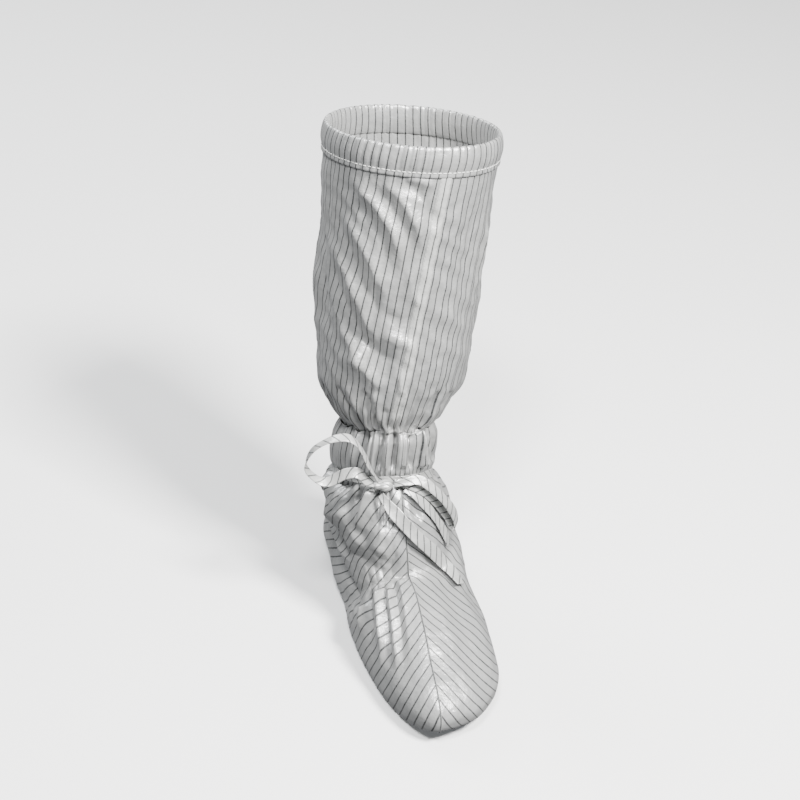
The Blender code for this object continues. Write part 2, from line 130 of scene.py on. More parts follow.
# Slant of the drape: the direction that it rises and falls in, and how far it strays from it
SHAFT_DRAPE_LEAN = (0.57, 0.0, 0.82)
SHAFT_DRAPE_STRAY = 0.24
FOOT_DRAPE_LEAN = (1.0, 0.25, 0.15)
FOOT_DRAPE_STRAY = 0.35

# The shaft's drape is higher round a place on the inner side of its front, and the foot's
# unevenness is weaker towards the toe
FRONT_DRAPE = 0.0003
FRONT_DRAPE_AT = radians(-35.0)
FRONT_DRAPE_SPREAD = radians(42.0)
TOE_CALM = 0.55
TOE_CALM_REACH = 0.030

# How far the sides of the shaft draw in above the ankle elastic, how far the neck draws in
# between elastic and tie, and how high the centre seam stands above the vamp's two halves
ANKLE_TAPER = 0.005
NECK_EASE = 0.0022
VAMP_RIDGE = 0.0030

# Flat spots and curves of the sole, along the foot from the back of the heel
HEEL_FLAT = (0.012, 0.085)
BALL_FLAT = (0.160, 0.210)
HEEL_LIFT = 0.0015
ARCH_LIFT = 0.0025
TOE_SPRING = 0.0070
SPRING_REACH = 0.040
NOSE_PER_SKEW = 5.0

# Groove that the instep elastic pulls into the cloth, on a slanting plane
INSTEP_FRONT = (0.167, 0.066)
INSTEP_SIDE = (0.124, 0.010)
INSTEP_DEPTH = 0.0035
INSTEP_SPREAD = 0.008
INSTEP_FADE = 0.020

# Sections of the foot and ankle, from the sole up to the ankle elastic
# front, back: place along the foot from the heel, in foot lengths
# front_z, back_z: height of the section at front and back, in tie heights
# shift, inner, outer, heel: middle and half widths, in ball widths
# heel_at, ball_at: where heel and ball are widest, from 0 at the back to 1 at the front
# nose: how blunt the front of the section is
# skew: how much further forward and blunter the outer side is than the inner side
FootRing = namedtuple(
    "FootRing", "front front_z back back_z shift inner outer heel heel_at ball_at nose skew"
)
FOOT_RINGS = [
    FootRing(0.982, 0.009, 0.018, 0.009, 0.000, 0.368, 0.572, 0.333, 0.17, 0.62, 2.10, 0.08),
    FootRing(0.996, 0.069, 0.004, 0.062, 0.000, 0.388, 0.602, 0.358, 0.17, 0.62, 2.10, 0.08),
    FootRing(1.000, 0.131, 0.000, 0.131, 0.000, 0.393, 0.607, 0.368, 0.17, 0.62, 2.05, 0.08),
    FootRing(0.978, 0.215, 0.002, 0.200, 0.000, 0.383, 0.587, 0.368, 0.17, 0.61, 2.00, 0.07),
    FootRing(0.928, 0.281, 0.007, 0.262, 0.000, 0.368, 0.567, 0.368, 0.18, 0.59, 1.95, 0.06),
    FootRing(0.856, 0.346, 0.014, 0.315, 0.000, 0.358, 0.552, 0.363, 0.20, 0.57, 1.90, 0.03),
    FootRing(0.763, 0.431, 0.022, 0.365, 0.000, 0.358, 0.537, 0.363, 0.23, 0.53, 1.80, 0.02),
    FootRing(0.676, 0.485, 0.029, 0.408, 0.000, 0.368, 0.527, 0.363, 0.27, 0.50, 1.75, 0.01),
    FootRing(0.604, 0.515, 0.034, 0.450, -0.005, 0.388, 0.517, 0.368, 0.31, 0.48, 1.70, 0.00),
    FootRing(0.583, 0.592, 0.038, 0.488, -0.010, 0.418, 0.517, 0.378, 0.36, 0.49, 1.80, 0.00),
    FootRing(0.563, 0.700, 0.041, 0.527, -0.020, 0.443, 0.502, 0.393, 0.40, 0.50, 1.90, 0.00),
    FootRing(0.536, 0.823, 0.054, 0.565, -0.030, 0.438, 0.463, 0.403, 0.45, 0.50, 2.00, 0.00),
    FootRing(0.504, 0.927, 0.076, 0.596, -0.035, 0.398, 0.408, 0.393, 0.48, 0.50, 2.00, 0.00),
    FootRing(0.471, 1.000, 0.101, 0.615, -0.040, 0.358, 0.358, 0.358, 0.50, 0.50, 2.00, 0.00),
    FootRing(0.478, 1.062, 0.088, 0.669, -0.040, 0.383, 0.383, 0.383, 0.50, 0.50, 2.00, 0.00),
    FootRing(0.482, 1.146, 0.081, 0.769, -0.040, 0.403, 0.403, 0.403, 0.50, 0.50, 2.00, 0.00),
    FootRing(0.473, 1.231, 0.085, 0.877, -0.035, 0.378, 0.378, 0.378, 0.50, 0.50, 2.00, 0.00),
    FootRing(0.451, 1.292, 0.101, 0.969, -0.030, 0.333, 0.333, 0.333, 0.50, 0.50, 2.00, 0.00),
]
INSTEP_LEVEL = 8
TIE_LEVEL = 13
ANKLE_LEVEL = len(FOOT_RINGS) - 1

# Sections of the shaft: place up its axis in shaft lengths, half depth and half width
# in shaft widths, and how far the section tilts up at the front, in degrees
ShaftRing = namedtuple("ShaftRing", "up depth half tilt")
SHAFT_RINGS = [
    ShaftRing(0.026, 0.437, 0.333, 23.0),
    ShaftRing(0.074, 0.492, 0.401, 22.0),
    ShaftRing(0.156, 0.524, 0.440, 20.5),
    ShaftRing(0.294, 0.536, 0.456, 18.5),
    ShaftRing(0.520, 0.542, 0.472, 16.0),
    ShaftRing(0.753, 0.546, 0.492, 14.0),
    ShaftRing(0.905, 0.548, 0.500, 13.0),
    ShaftRing(0.987, 0.548, 0.496, 13.0),
]
RIM_LEVEL = ANKLE_LEVEL + len(SHAFT_RINGS)
CASING_LEVEL = RIM_LEVEL - 1
STRIPE_LEVEL = ANKLE_LEVEL + 5

# Folded hem round the rim: level on the shaft, distance out from it and rise above it
CasingPoint = namedtuple("CasingPoint", "level out rise")
CASING_SECTION = [
    CasingPoint(CASING_LEVEL - 0.03, 0.0002, 0.0),
    CasingPoint(CASING_LEVEL - 0.03, 0.0012, 0.0),
    CasingPoint(CASING_LEVEL + 0.03, 0.0017, 0.0),
    CasingPoint(CASING_LEVEL + 0.13, 0.0010, 0.0),
    CasingPoint(CASING_LEVEL + 0.24, 0.0019, 0.0),
    CasingPoint(CASING_LEVEL + 0.45, 0.0027, 0.0),
    CasingPoint(CASING_LEVEL + 0.70, 0.0027, 0.0),
    CasingPoint(CASING_LEVEL + 0.90, 0.0021, 0.0),
    CasingPoint(RIM_LEVEL, 0.0012, 0.0016),
    CasingPoint(RIM_LEVEL, -0.0005, 0.0029),
    CasingPoint(RIM_LEVEL, -0.0020, 0.0016),
    CasingPoint(CASING_LEVEL + 0.85, -0.0030, 0.0),
    CasingPoint(CASING_LEVEL + 0.50, -0.0034, 0.0),
    CasingPoint(CASING_LEVEL + 0.20, -0.0026, 0.0),
    CasingPoint(CASING_LEVEL, -0.0018, 0.0),
    CasingPoint(CASING_LEVEL - 0.02, -0.0010, 0.0),
]

# Bow: the knot sits on the tape at the front of the ankle
KNOT_ANGLE = radians(-17.0)
KNOT_STAND_OFF = 0.0076
KNOT_RADII = (0.0074, 0.0046, 0.0044)

# Standing loop on the inner side, from the knot and back to it, in metres
# across: to the outer side, up: above the knot, ahead: towards the toe
# roll: how far the tape's width turns from pointing ahead to pointing down
LoopPoint = namedtuple("LoopPoint", "across up ahead roll")
LOOP_FACING = radians(-15.5)
MEDIAL_LOOP = [
    LoopPoint(-0.0038, 0.0038, 0.0000, 0),
    LoopPoint(-0.0104, 0.0178, 0.0035, 0),
    LoopPoint(-0.0151, 0.0298, 0.0055, 0),
    LoopPoint(-0.0212, 0.0402, 0.0065, 4),
    LoopPoint(-0.0282, 0.0446, 0.0070, 8),
    LoopPoint(-0.0368, 0.0430, 0.0070, 8),
    LoopPoint(-0.0448, 0.0382, 0.0065, 8),
    LoopPoint(-0.0521, 0.0310, 0.0060, 6),
    LoopPoint(-0.0564, 0.0221, 0.0055, 4),
    LoopPoint(-0.0571, 0.0140, 0.0050, 6),
    LoopPoint(-0.0521, 0.0067, 0.0045, 14),
    LoopPoint(-0.0456, 0.0025, 0.0045, 28),
    LoopPoint(-0.0390, 0.0032, 0.0050, 44),
    LoopPoint(-0.0340, 0.0072, 0.0055, 56),
    LoopPoint(-0.0282, 0.0117, 0.0060, 62),
    LoopPoint(-0.0209, 0.0137, 0.0060, 60),
    LoopPoint(-0.0166, 0.0112, 0.0050, 50),
    LoopPoint(-0.0128, 0.0052, 0.0035, 36),
    LoopPoint(-0.0068, 0.0004, 0.0008, 24),
]

# Loop and ends that lie on the cloth: angle round the foot in degrees, level, and
# distance out from the cloth in metres
LyingPoint = namedtuple("LyingPoint", "angle level out")
LATERAL_LOOP = [
    LyingPoint(-6.6, 12.95, 0.0080),
    LyingPoint(4, 12.82, 0.0098),
    LyingPoint(15, 12.5, 0.0114),
    LyingPoint(26, 11.95, 0.0122),
    LyingPoint(36, 11.2, 0.0120),
    LyingPoint(43, 10.55, 0.0110),
    LyingPoint(47, 10.05, 0.0090),
    LyingPoint(48.5, 9.8, 0.0066),
    LyingPoint(47, 10.05, 0.0048),
    LyingPoint(42, 10.65, 0.0044),
    LyingPoint(34, 11.3, 0.0045),
    LyingPoint(24, 11.95, 0.0047),
    LyingPoint(12, 12.38, 0.0049),
    LyingPoint(3, 12.62, 0.0050),
    LyingPoint(-6.2, 12.72, 0.0052),
]
LONG_TAIL = [
    LyingPoint(-20, 12.07, 0.0050),
    LyingPoint(-13, 11.6, 0.0058),
    LyingPoint(-4, 11.0, 0.0060),
    LyingPoint(8, 10.2, 0.0060),
    LyingPoint(20, 9.4, 0.0062),
    LyingPoint(33, 8.2, 0.0070),
    LyingPoint(41, 7.2, 0.0060),
    LyingPoint(45, 6.4, 0.0040),
]
SHORT_TAIL = [
    LyingPoint(3, 12.3, 0.0024),
    LyingPoint(14, 11.9, 0.0022),
    LyingPoint(25, 11.2, 0.0020),
    LyingPoint(34, 10.4, 0.0020),
    LyingPoint(41, 9.6, 0.0020),
    LyingPoint(46, 8.9, 0.0020),
]
ROUTE_STEPS = 8

# How far the outer loop's face turns from the cloth, and the direction that it turns to
LATERAL_TURN = 0.8
TOEWARDS = (0.0, -0.93, 0.37)

# Creases placed one by one: a soft ridge, or a trough where the height is negative, through
# three places given by angle in degrees and level, with its width and height in metres
Crease = namedtuple("Crease", "angle1 level1 angle2 level2 angle3 level3 width height")
SHAFT_CREASES = [
    Crease(-34, 23.72, -16, 23.30, 0, 22.40, 0.0046, 0.0021),
    Crease(-24, 23.88, -7, 23.50, 5, 22.80, 0.0060, -0.0015),
    Crease(-20, 23.95, -8, 23.85, 3, 23.75, 0.0036, 0.0012),
    Crease(-54, 23.60, -31, 23.10, -12, 22.20, 0.0050, 0.0020),
    Crease(-44, 23.70, -23, 23.20, -6, 22.30, 0.0062, -0.0017),
    Crease(-64, 23.00, -41, 22.50, -20, 21.75, 0.0044, 0.0017),
    Crease(-57, 23.25, -35, 22.80, -16, 21.95, 0.0060, -0.0014),
    Crease(-74, 22.60, -49, 21.95, -26, 21.10, 0.0052, 0.0021),
    Crease(-68, 22.80, -45, 22.20, -23, 21.40, 0.0060, -0.0016),
    Crease(-80, 22.00, -56, 21.35, -34, 20.60, 0.0046, 0.0017),
    Crease(-76, 22.25, -52, 21.62, -30, 20.90, 0.0058, -0.0015),
    Crease(-56, 20.85, -36, 20.65, -20, 20.00, 0.0060, 0.0026),
    Crease(-50, 21.30, -30, 21.10, -12, 20.75, 0.0070, -0.0021),
    Crease(-26, 21.38, -12, 21.28, 0, 21.22, 0.0050, 0.0018),
    Crease(-28, 21.65, -14, 21.60, -1, 21.55, 0.0060, -0.0015),
    Crease(-14, 22.45, -6, 22.00, -1, 21.80, 0.0040, 0.0013),
    Crease(-14, 20.70, -9, 20.35, -7, 19.90, 0.0040, 0.0014),
    Crease(52, 22.90, 58, 22.40, 56, 21.90, 0.0045, 0.0015),
    Crease(66, 22.70, 70, 22.10, 64, 21.60, 0.0050, -0.0013),
    Crease(28, 23.30, 34, 22.60, 30, 21.90, 0.0070, -0.0009),
    Crease(18, 21.90, 30, 21.50, 44, 21.40, 0.0060, 0.0010),
    Crease(-96, 22.90, -84, 22.00, -74, 21.20, 0.0080, -0.0018),
    Crease(-112, 22.60, -98, 21.70, -90, 20.80, 0.0080, 0.0020),
    Crease(96, 22.80, 84, 22.00, 78, 21.20, 0.0080, 0.0016),
    Crease(118, 23.10, 104, 22.30, 98, 21.30, 0.0080, -0.0016),
    Crease(150, 23.30, 168, 22.60, 188, 22.20, 0.0070, 0.0018),
    Crease(140, 22.40, 160, 21.70, 182, 21.30, 0.0080, -0.0018),
    Crease(158, 21.40, 176, 20.80, 196, 20.50, 0.0070, 0.0020),
    Crease(204, 22.90, 220, 22.20, 232, 21.60, 0.0080, 0.0017),
]
ANKLE_CREASES = [
    Crease(-36, 20.10, -31, 19.10, -22, 17.20, 0.0034, -0.0036),
    Crease(-28, 20.05, -24, 19.20, -17, 17.20, 0.0036, 0.0020),
    Crease(-19, 19.40, -16, 18.50, -13, 17.10, 0.0030, -0.0022),
    Crease(-62, 20.00, -52, 19.00, -40, 17.20, 0.0036, -0.0032),
    Crease(-50, 20.15, -44, 19.20, -33, 17.20, 0.0036, 0.0020),
    Crease(24, 20.05, 19, 19.10, 12, 17.20, 0.0034, -0.0036),
    Crease(32, 20.20, 27, 19.30, 19, 17.20, 0.0036, 0.0020),
    Crease(44, 19.90, 36, 19.00, 26, 17.20, 0.0034, -0.0030),
    Crease(70, 19.70, 60, 18.90, 48, 17.20, 0.0040, -0.0028),
    Crease(100, 19.80, 92, 18.90, 84, 17.20, 0.0042, -0.0030),
    Crease(132, 19.70, 128, 18.90, 122, 17.20, 0.0042, -0.0030),
    Crease(168, 19.90, 166, 18.90, 164, 17.20, 0.0042, -0.0032),
    Crease(200, 19.70, 203, 18.90, 205, 17.20, 0.0042, -0.0030),
    Crease(236, 19.80, 242, 18.90, 248, 17.20, 0.0042, -0.0030),
    Crease(-92, 19.90, -84, 18.90, -74, 17.20, 0.0040, -0.0030),
]
NECK_CREASES = [
    Crease(-10, 17.00, -10, 15.40, -9, 13.90, 0.0028, -0.0038),
    Crease(-22, 17.00, -26, 15.30, -24, 14.00, 0.0028, -0.0032),
    Crease(-17, 17.00, -17, 15.40, -15, 14.20, 0.0028, 0.0022),
    Crease(10, 17.00, 11, 15.30, 12, 13.90, 0.0032, -0.0034),
    Crease(2, 17.00, 2, 15.50, 3, 14.10, 0.0036, 0.0024),
    Crease(20, 17.00, 26, 15.40, 27, 14.00, 0.0044, 0.0030),
    Crease(31, 17.00, 40, 15.20, 42, 14.00, 0.0036, -0.0034),
    Crease(-40, 17.00, -44, 15.30, -42, 14.00, 0.0032, -0.0034),
    Crease(48, 17.00, 54, 15.20, 60, 14.00, 0.0036, -0.0028),
]
FOOT_CREASES = [
    Crease(-27, 12.40, -19, 11.25, -5, 10.45, 0.0095, -0.0030),
    Crease(-30, 12.45, -38, 11.40, -50, 9.60, 0.0060, 0.0046),
    Crease(-44, 12.50, -43, 11.50, -44, 10.40, 0.0040, -0.0038),
    Crease(-50, 11.00, -68, 10.30, -92, 9.40, 0.0120, 0.0054),
    Crease(-48, 12.50, -70, 12.25, -94, 12.00, 0.0060, -0.0038),
    Crease(-92, 12.20, -98, 11.00, -96, 9.60, 0.0090, 0.0040),
    Crease(-22, 10.80, -24, 9.90, -30, 9.00, 0.0110, 0.0032),
    Crease(-42, 10.00, -54, 9.00, -68, 8.00, 0.0130, 0.0034),
    Crease(-124, 5.80, -98, 6.10, -70, 6.20, 0.0090, 0.0040),
    Crease(-128, 3.60, -100, 3.70, -74, 4.10, 0.0085, -0.0044),
    Crease(-26, 10.90, -36, 10.20, -48, 9.50, 0.0050, -0.0006),
    Crease(-20, 9.90, -28, 9.20, -40, 8.50, 0.0060, 0.0011),
    Crease(-10, 9.60, -17, 8.90, -28, 8.40, 0.0045, -0.0011),
    Crease(6, 12.20, 12, 11.40, 20, 10.60, 0.0044, -0.0030),
    Crease(22, 12.20, 32, 11.40, 44, 10.60, 0.0050, 0.0022),
    Crease(40, 12.20, 54, 11.50, 68, 10.90, 0.0046, -0.0026),
    Crease(14, 10.40, 24, 9.60, 38, 8.90, 0.0050, 0.0016),
    Crease(44, 10.00, 56, 9.30, 66, 8.50, 0.0060, -0.0016),
    Crease(-70, 9.20, -66, 8.40, -64, 7.40, 0.0050, 0.0012),
    Crease(-112, 9.60, -118, 7.60, -116, 4.80, 0.0080, -0.0022),
    Crease(-136, 10.40, -140, 8.00, -138, 4.80, 0.0080, 0.0020),
    Crease(112, 9.60, 118, 7.60, 116, 4.80, 0.0080, -0.0020),
    Crease(138, 10.40, 142, 8.00, 140, 4.80, 0.0080, 0.0018),
    Crease(164, 10.40, 166, 8.00, 170, 4.80, 0.0080, -0.0018),
    Crease(192, 10.40, 190, 8.00, 192, 4.80, 0.0080, -0.0016),
]
VAMP_CREASES = [
    Crease(-48, 6.60, -51, 4.80, -56, 2.40, 0.0046, 0.0036),
    Crease(-39, 6.90, -43, 5.00, -48, 2.70, 0.0050, -0.0028),
    Crease(-31, 7.30, -35, 5.50, -41, 3.00, 0.0046, 0.0032),
    Crease(-22, 7.60, -26, 6.00, -33, 3.60, 0.0048, -0.0024),
    Crease(-14, 7.80, -17, 6.60, -23, 4.40, 0.0044, 0.0020),
    Crease(-61, 5.90, -63, 4.40, -66, 2.40, 0.0050, -0.0030),
    Crease(-72, 4.60, -73, 3.60, -75, 2.20, 0.0048, 0.0024),
    Crease(16, 7.60, 18, 6.40, 21, 4.80, 0.0060, 0.0007),
    Crease(28, 7.40, 31, 6.00, 34, 4.20, 0.0070, -0.0008),
    Crease(44, 6.60, 46, 5.20, 49, 3.40, 0.0070, 0.0010),
    Crease(58, 5.80, 60, 4.40, 63, 2.60, 0.0070, -0.0010),
]

# Gathers: number of pleats round the boot, and how their spacing wanders
Gather = namedtuple("Gather", "count slow medium quick")
ANKLE_GATHER = Gather(29, 1.5, 1.1, 0.8)
TIE_GATHER = Gather(25, 1.3, 1.1, 0.8)
CASING_GATHER = Gather(66, 1.2, 1.1, 0.9)
EDGE_GATHER = Gather(58, 1.0, 1.2, 0.8)
ELASTIC_GATHER = Gather(38, 0.9, 1.1, 0.8)

# Heights of the gathers' pleats and puckers, in metres
ANKLE_PLEATS = 0.0030
NECK_PLEATS = 0.0018
OVER_TIE_PLEATS = 0.0030
UNDER_TIE_PLEATS = 0.0042
CASING_PUCKERS = 0.0011
ELASTIC_PUCKERS = 0.0013
ELASTIC_GROOVE = 0.0008
EDGE_PUCKERS = 0.0007
SHAFT_FLUTES = 0.00024

# Mesh fineness: columns round the boot and rows up it
SHAFT_GRID = (400, 108)
CASING_COLUMNS = 528
FOOT_COLUMNS = 320
FOOT_ROWS = ((0, 60), (INSTEP_LEVEL, 44), (TIE_LEVEL, 32), (ANKLE_LEVEL, 0))

# Any section in metres; bank is its tilt down to the outer side
Ring = namedtuple(
    "Ring", "front front_z back back_z shift bank inner outer heel heel_at ball_at nose skew"
)


def scaled_foot_ring(shares):
    """A foot section in metres."""
    return Ring(
        front=shares.front * FOOT_LENGTH,
        front_z=shares.front_z * TIE_HEIGHT,
        back=shares.back * FOOT_LENGTH,
        back_z=shares.back_z * TIE_HEIGHT,
        shift=shares.shift * BALL_WIDTH,
        bank=0.0,
        inner=shares.inner * BALL_WIDTH,
        outer=shares.outer * BALL_WIDTH,
        heel=shares.heel * BALL_WIDTH,
        heel_at=shares.heel_at,
        ball_at=shares.ball_at,
        nose=shares.nose,
        skew=shares.skew,
    )


def scaled_shaft_ring(shares, ankle):
    """A shaft section in metres: an oval across the axis that rises from the ankle ring."""
    climb = shares.up * SHAFT_LENGTH
    along = 0.5 * (ankle.front + ankle.back) - climb * sin(SHAFT_LEAN)
    height = 0.5 * (ankle.front_z + ankle.back_z) + climb * cos(SHAFT_LEAN)
    run = shares.depth * SHAFT_WIDTH * cos(radians(shares.tilt))
    rise = shares.depth * SHAFT_WIDTH * sin(radians(shares.tilt))
    half = shares.half * SHAFT_WIDTH
    return Ring(
        front=along + run,
        front_z=height + rise,
        back=along - run,
        back_z=height - rise,
        shift=ankle.shift + climb * sin(SHAFT_SIDE_LEAN),
        bank=SHAFT_SIDE_LEAN,
        inner=half,
        outer=half,
        heel=half,
        heel_at=0.5,
        ball_at=0.5,
        nose=2.0,
        skew=0.0,
    )


def all_rings():
    """Every section in metres, one row each, from the sole to the rim."""
    rings = [scaled_foot_ring(ring) for ring in FOOT_RINGS]
    rings += [scaled_shaft_ring(ring, rings[ANKLE_LEVEL]) for ring in SHAFT_RINGS]
    return np.array(rings)


def soft_slopes(rings):
    """Slope of each column at each ring, flat at peaks and hollows."""
    change = np.diff(rings, axis=0)
    slopes = np.empty_like(rings)
    slopes[0] = change[0]
    slopes[-1] = change[-1]
    product = change[:-1] * change[1:]
    total = np.where(product > 0.0, change[:-1] + change[1:], 1.0)
    slopes[1:-1] = np.where(product > 0.0, 2.0 * product / total, 0.0)
    return slopes


RINGS = all_rings()
SLOPES = soft_slopes(RINGS)


def ring_at(level):
    """The sections at any levels, on smooth curves through the rings."""
    index = np.clip(np.floor(level).astype(int), 0, len(RINGS) - 2)
    t = (level - index)[..., None]
    start = RINGS[index]
    rise = RINGS[index + 1] - start
    leave = SLOPES[index]
    arrive = SLOPES[index + 1]
    bend = 3.0 * rise - 2.0 * leave - arrive
    twist = leave + arrive - 2.0 * rise
    values = start + t * (leave + t * (bend + t * twist))
    return Ring(*np.moveaxis(values, -1, 0))


def half_width(ring, share, outer_side):
    """Half width of a section at a share of its length, from back 0 to front 1."""
    lean = np.where(outer_side, ring.skew, -ring.skew)
    ball = np.where(outer_side, ring.outer, ring.inner)
    ball_at = ring.ball_at + lean
    to_front = np.clip((share - ball_at) / (1.0 - ball_at), 0.0, 1.0)
    front = ball * np.sqrt(np.clip(1.0 - to_front ** (ring.nose + NOSE_PER_SKEW * lean), 0.0, 1.0))
    to_back = np.clip((ring.heel_at - share) / ring.heel_at, 0.0, 1.0)
    back = ring.heel * np.sqrt(1.0 - to_back ** 2)
    t = np.clip((share - ring.heel_at) / np.maximum(ball_at - ring.heel_at, 1e-9), 0.0, 1.0)
    waist = ring.heel + (ball - ring.heel) * t * t * (3.0 - 2.0 * t)
    return np.where(share >= ball_at, front, np.where(share <= ring.heel_at, back, waist))


def sole_lift(along):
    """Height of the sole above the floor: flat at heel and ball, raised between and at the toe."""
    heel = HEEL_LIFT * np.clip(1.0 - along / HEEL_FLAT[0], 0.0, None) ** 2
    t = np.clip((along - HEEL_FLAT[1]) / (BALL_FLAT[0] - HEEL_FLAT[1]), 0.0, 1.0)
    arch = ARCH_LIFT * np.sin(pi * t) ** 2
    toe = np.clip((along - BALL_FLAT[1]) / (FOOT_LENGTH - BALL_FLAT[1]), 0.0, None)
    return heel + arch + TOE_SPRING * toe ** 2


def smooth_skin(angle, level):
    """The cloth before the elastic gathers it, as points for arrays of angles and levels."""
    angle, level = np.broadcast_arrays(np.asarray(angle, float), np.asarray(level, float))
    ring = ring_at(level)
    share = 0.5 * (1.0 + np.cos(angle))
    along = ring.back + (ring.front - ring.back) * share
    height = ring.back_z + (ring.front_z - ring.back_z) * share
    height = height + sole_lift(along) * np.clip(1.0 - height / SPRING_REACH, 0.0, None)
    across = np.copysign(half_width(ring, share, np.sin(angle) > 0.0), np.sin(angle))
    return np.stack((ring.shift + across, HEEL_BACK - along, height - across * np.sin(ring.bank)), -1)


def unit(vectors):
    """Vectors scaled to length 1."""
    return vectors / np.maximum(np.linalg.norm(vectors, axis=-1, keepdims=True), 1e-12)


def outward(place, angle, level):
    """Unit directions out of a surface that is given by angle and level."""
    turn = 0.01
    climb = 0.02
    angle = np.asarray(angle, float)
    level = np.asarray(level, float)
    around = place(angle + turn, level) - place(angle - turn, level)
    up = place(angle, level + climb) - place(angle, level - climb)
    return unit(np.cross(around, up))


def instep_distance(points):
    """Distance of points from the plane of the instep elastic, positive towards the toe."""
    run = INSTEP_FRONT[0] - INSTEP_SIDE[0]
    climb = INSTEP_FRONT[1] - INSTEP_SIDE[1]
    along = HEEL_BACK - points[..., 1] - INSTEP_FRONT[0]
    above = points[..., 2] - INSTEP_FRONT[1]
    return (along * climb - above * run) / sqrt(run * run + climb * climb)


def instep_fade(points):
    """The instep elastic's pull, which fades towards the sole."""
    return np.clip(points[..., 2] / INSTEP_FADE, 0.0, 1.0)


def skin(angle, level):
    """Outer face of the cloth, without gathers and creases."""
    points = smooth_skin(angle, level)
    pull = np.exp(-0.5 * (instep_distance(points) / INSTEP_SPREAD) ** 2)
    groove = INSTEP_DEPTH * instep_fade(points) * pull
    return points - outward(smooth_skin, angle, level) * groove[..., None]


def off_skin(angle, level, out):
    """Points at a distance out from the cloth."""
    return skin(angle, level) + outward(skin, angle, level) * np.asarray(out)[..., None]


def shaft_seam_angle(level):
    """Angle of the shaft's front seam, which turns steadily from ankle to rim."""
    column = Ring._fields.index("front_z")
    ankle = RINGS[ANKLE_LEVEL][column]
    share = (ring_at(np.asarray(level, float)).front_z - ankle) / (RINGS[RIM_LEVEL][column] - ankle)
    return SHAFT_SEAM_TURN[0] + (SHAFT_SEAM_TURN[1] - SHAFT_SEAM_TURN[0]) * share


# Gathers, creases and crumple

def pleats(turn, gather):
    """Rounded pleats of uneven width round a gathered edge: 0 in the valleys, 1 on the ridges."""
    wander = gather.slow * np.sin(3.0 * turn + 0.7)
    wander = wander + gather.medium * np.sin(7.0 * turn + 2.1)
    wander = wander + gather.quick * np.sin(13.0 * turn + 4.4)
    return np.abs(np.cos(0.5 * gather.count * turn + wander)) ** 0.75


def uneven(turn, share):
    """Strength that varies round the boot, from 1 minus a share to 1."""
    mix = np.sin(2.0 * turn + 0.4) + np.sin(5.0 * turn + 1.9) + np.sin(11.0 * turn + 3.2)
    return 1.0 - share * (0.5 + mix / 6.0)


def tucks(turn, gather, weaker=0.0, middle=0.6):
    """Pleats about their middle height, weaker in places by up to a share."""
    return (pleats(turn, gather) - middle) * uneven(turn, weaker)


def swell(distance, peak):
    """Rises from 0 at a gathered line to 1 at a peak distance, then dies away."""
    run = np.clip(distance, 0.0, None) / peak
    return run * np.exp(1.0 - run)


def smooth_step(value):
    """Eased step from 0 to 1."""
    t = np.clip(value, 0.0, 1.0)
    return t * t * (3.0 - 2.0 * t)


def crumple(points, layer, lean=(0.0, 0.0, 0.0), stray=1.0):
    """Soft random unevenness of about unit size, from waves that stray from a leaning direction."""
    draws = np.random.default_rng(layer.seed)
    total = np.zeros(points.shape[:-1])
    waves = 16
    for _ in range(waves):
        direction = unit(np.array(lean) + stray * draws.normal(size=3))
        length = layer.wavelength * draws.uniform(0.6, 1.6)
        phase = draws.uniform(0.0, 2.0 * pi)
        total += np.cos(points @ direction * (2.0 * pi / length) + phase)
    return total / sqrt(0.5 * waves)


def folded(waves):
    """Narrow ridges with flatter faces between them, from soft waves."""
    return 0.8 - np.sqrt(waves ** 2 + 0.04)


def crease_path(crease):
    """Points on the cloth along a crease, on a curve through its three places."""
    t = np.linspace(0.0, 1.0, 15)
    first = (1.0 - t) * (1.0 - 2.0 * t)
    middle = 4.0 * t * (1.0 - t)
    last = t * (2.0 * t - 1.0)
    angle = first * crease.angle1 + middle * crease.angle2 + last * crease.angle3
    level = first * crease.level1 + middle * crease.level2 + last * crease.level3
    return skin(np.radians(angle), level)


def crease_relief(points, creases, rise, fade):
    """Sum of ridges and troughs at points; rise and fade are shares of a crease's length."""
    flat = points.reshape(-1, 3)
    relief = np.zeros(len(flat))
    for crease in creases:
        path = crease_path(crease)
        reach = 2.6 * crease.width
        near = np.all((flat > path.min(0) - reach) & (flat < path.max(0) + reach), axis=1)
        here = flat[near]
        best = np.full(len(here), np.inf)
        place = np.zeros(len(here))
        spans = len(path) - 1
        for k in range(spans):
            step = path[k + 1] - path[k]
            t = np.clip((here - path[k]) @ step / (step @ step), 0.0, 1.0)
            gap = np.linalg.norm(here - path[k] - t[:, None] * step, axis=1)
            closer = gap < best
            best = np.where(closer, gap, best)
            place = np.where(closer, (k + t) / spans, place)
        ends = smooth_step(place / rise) * smooth_step((1.0 - place) / fade)
        off = best / crease.width
        relief[near] += crease.height * ends * (0.45 * np.exp(-(off ** 2)) + 0.55 * np.exp(-1.6 * off))
    return relief.reshape(points.shape[:-1])


def lengths_up(points):
    """Distance up each column of a grid of points, from its lowest row."""
    runs = np.linalg.norm(np.diff(points, axis=0), axis=-1)
    return np.vstack((np.zeros(points.shape[1]), np.cumsum(runs, axis=0)))


def lengths_along(points):
    """Distance along a line of points, from its first."""
    return lengths_up(points[:, None])[:, 0]


# Meshes

def new_piece(name, mesh, material, slot, *replaced):
    """A piece of the boot that stands for CAD nodes and moves with its one body."""
    piece = bpy.data.objects.new(name, mesh)
    bpy.context.scene.collection.objects.link(piece)
    mesh.materials.append(material)
    mesh.shade_smooth()
    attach(piece, "root")
    if replaced:
        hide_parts(*replaced)
    return piece


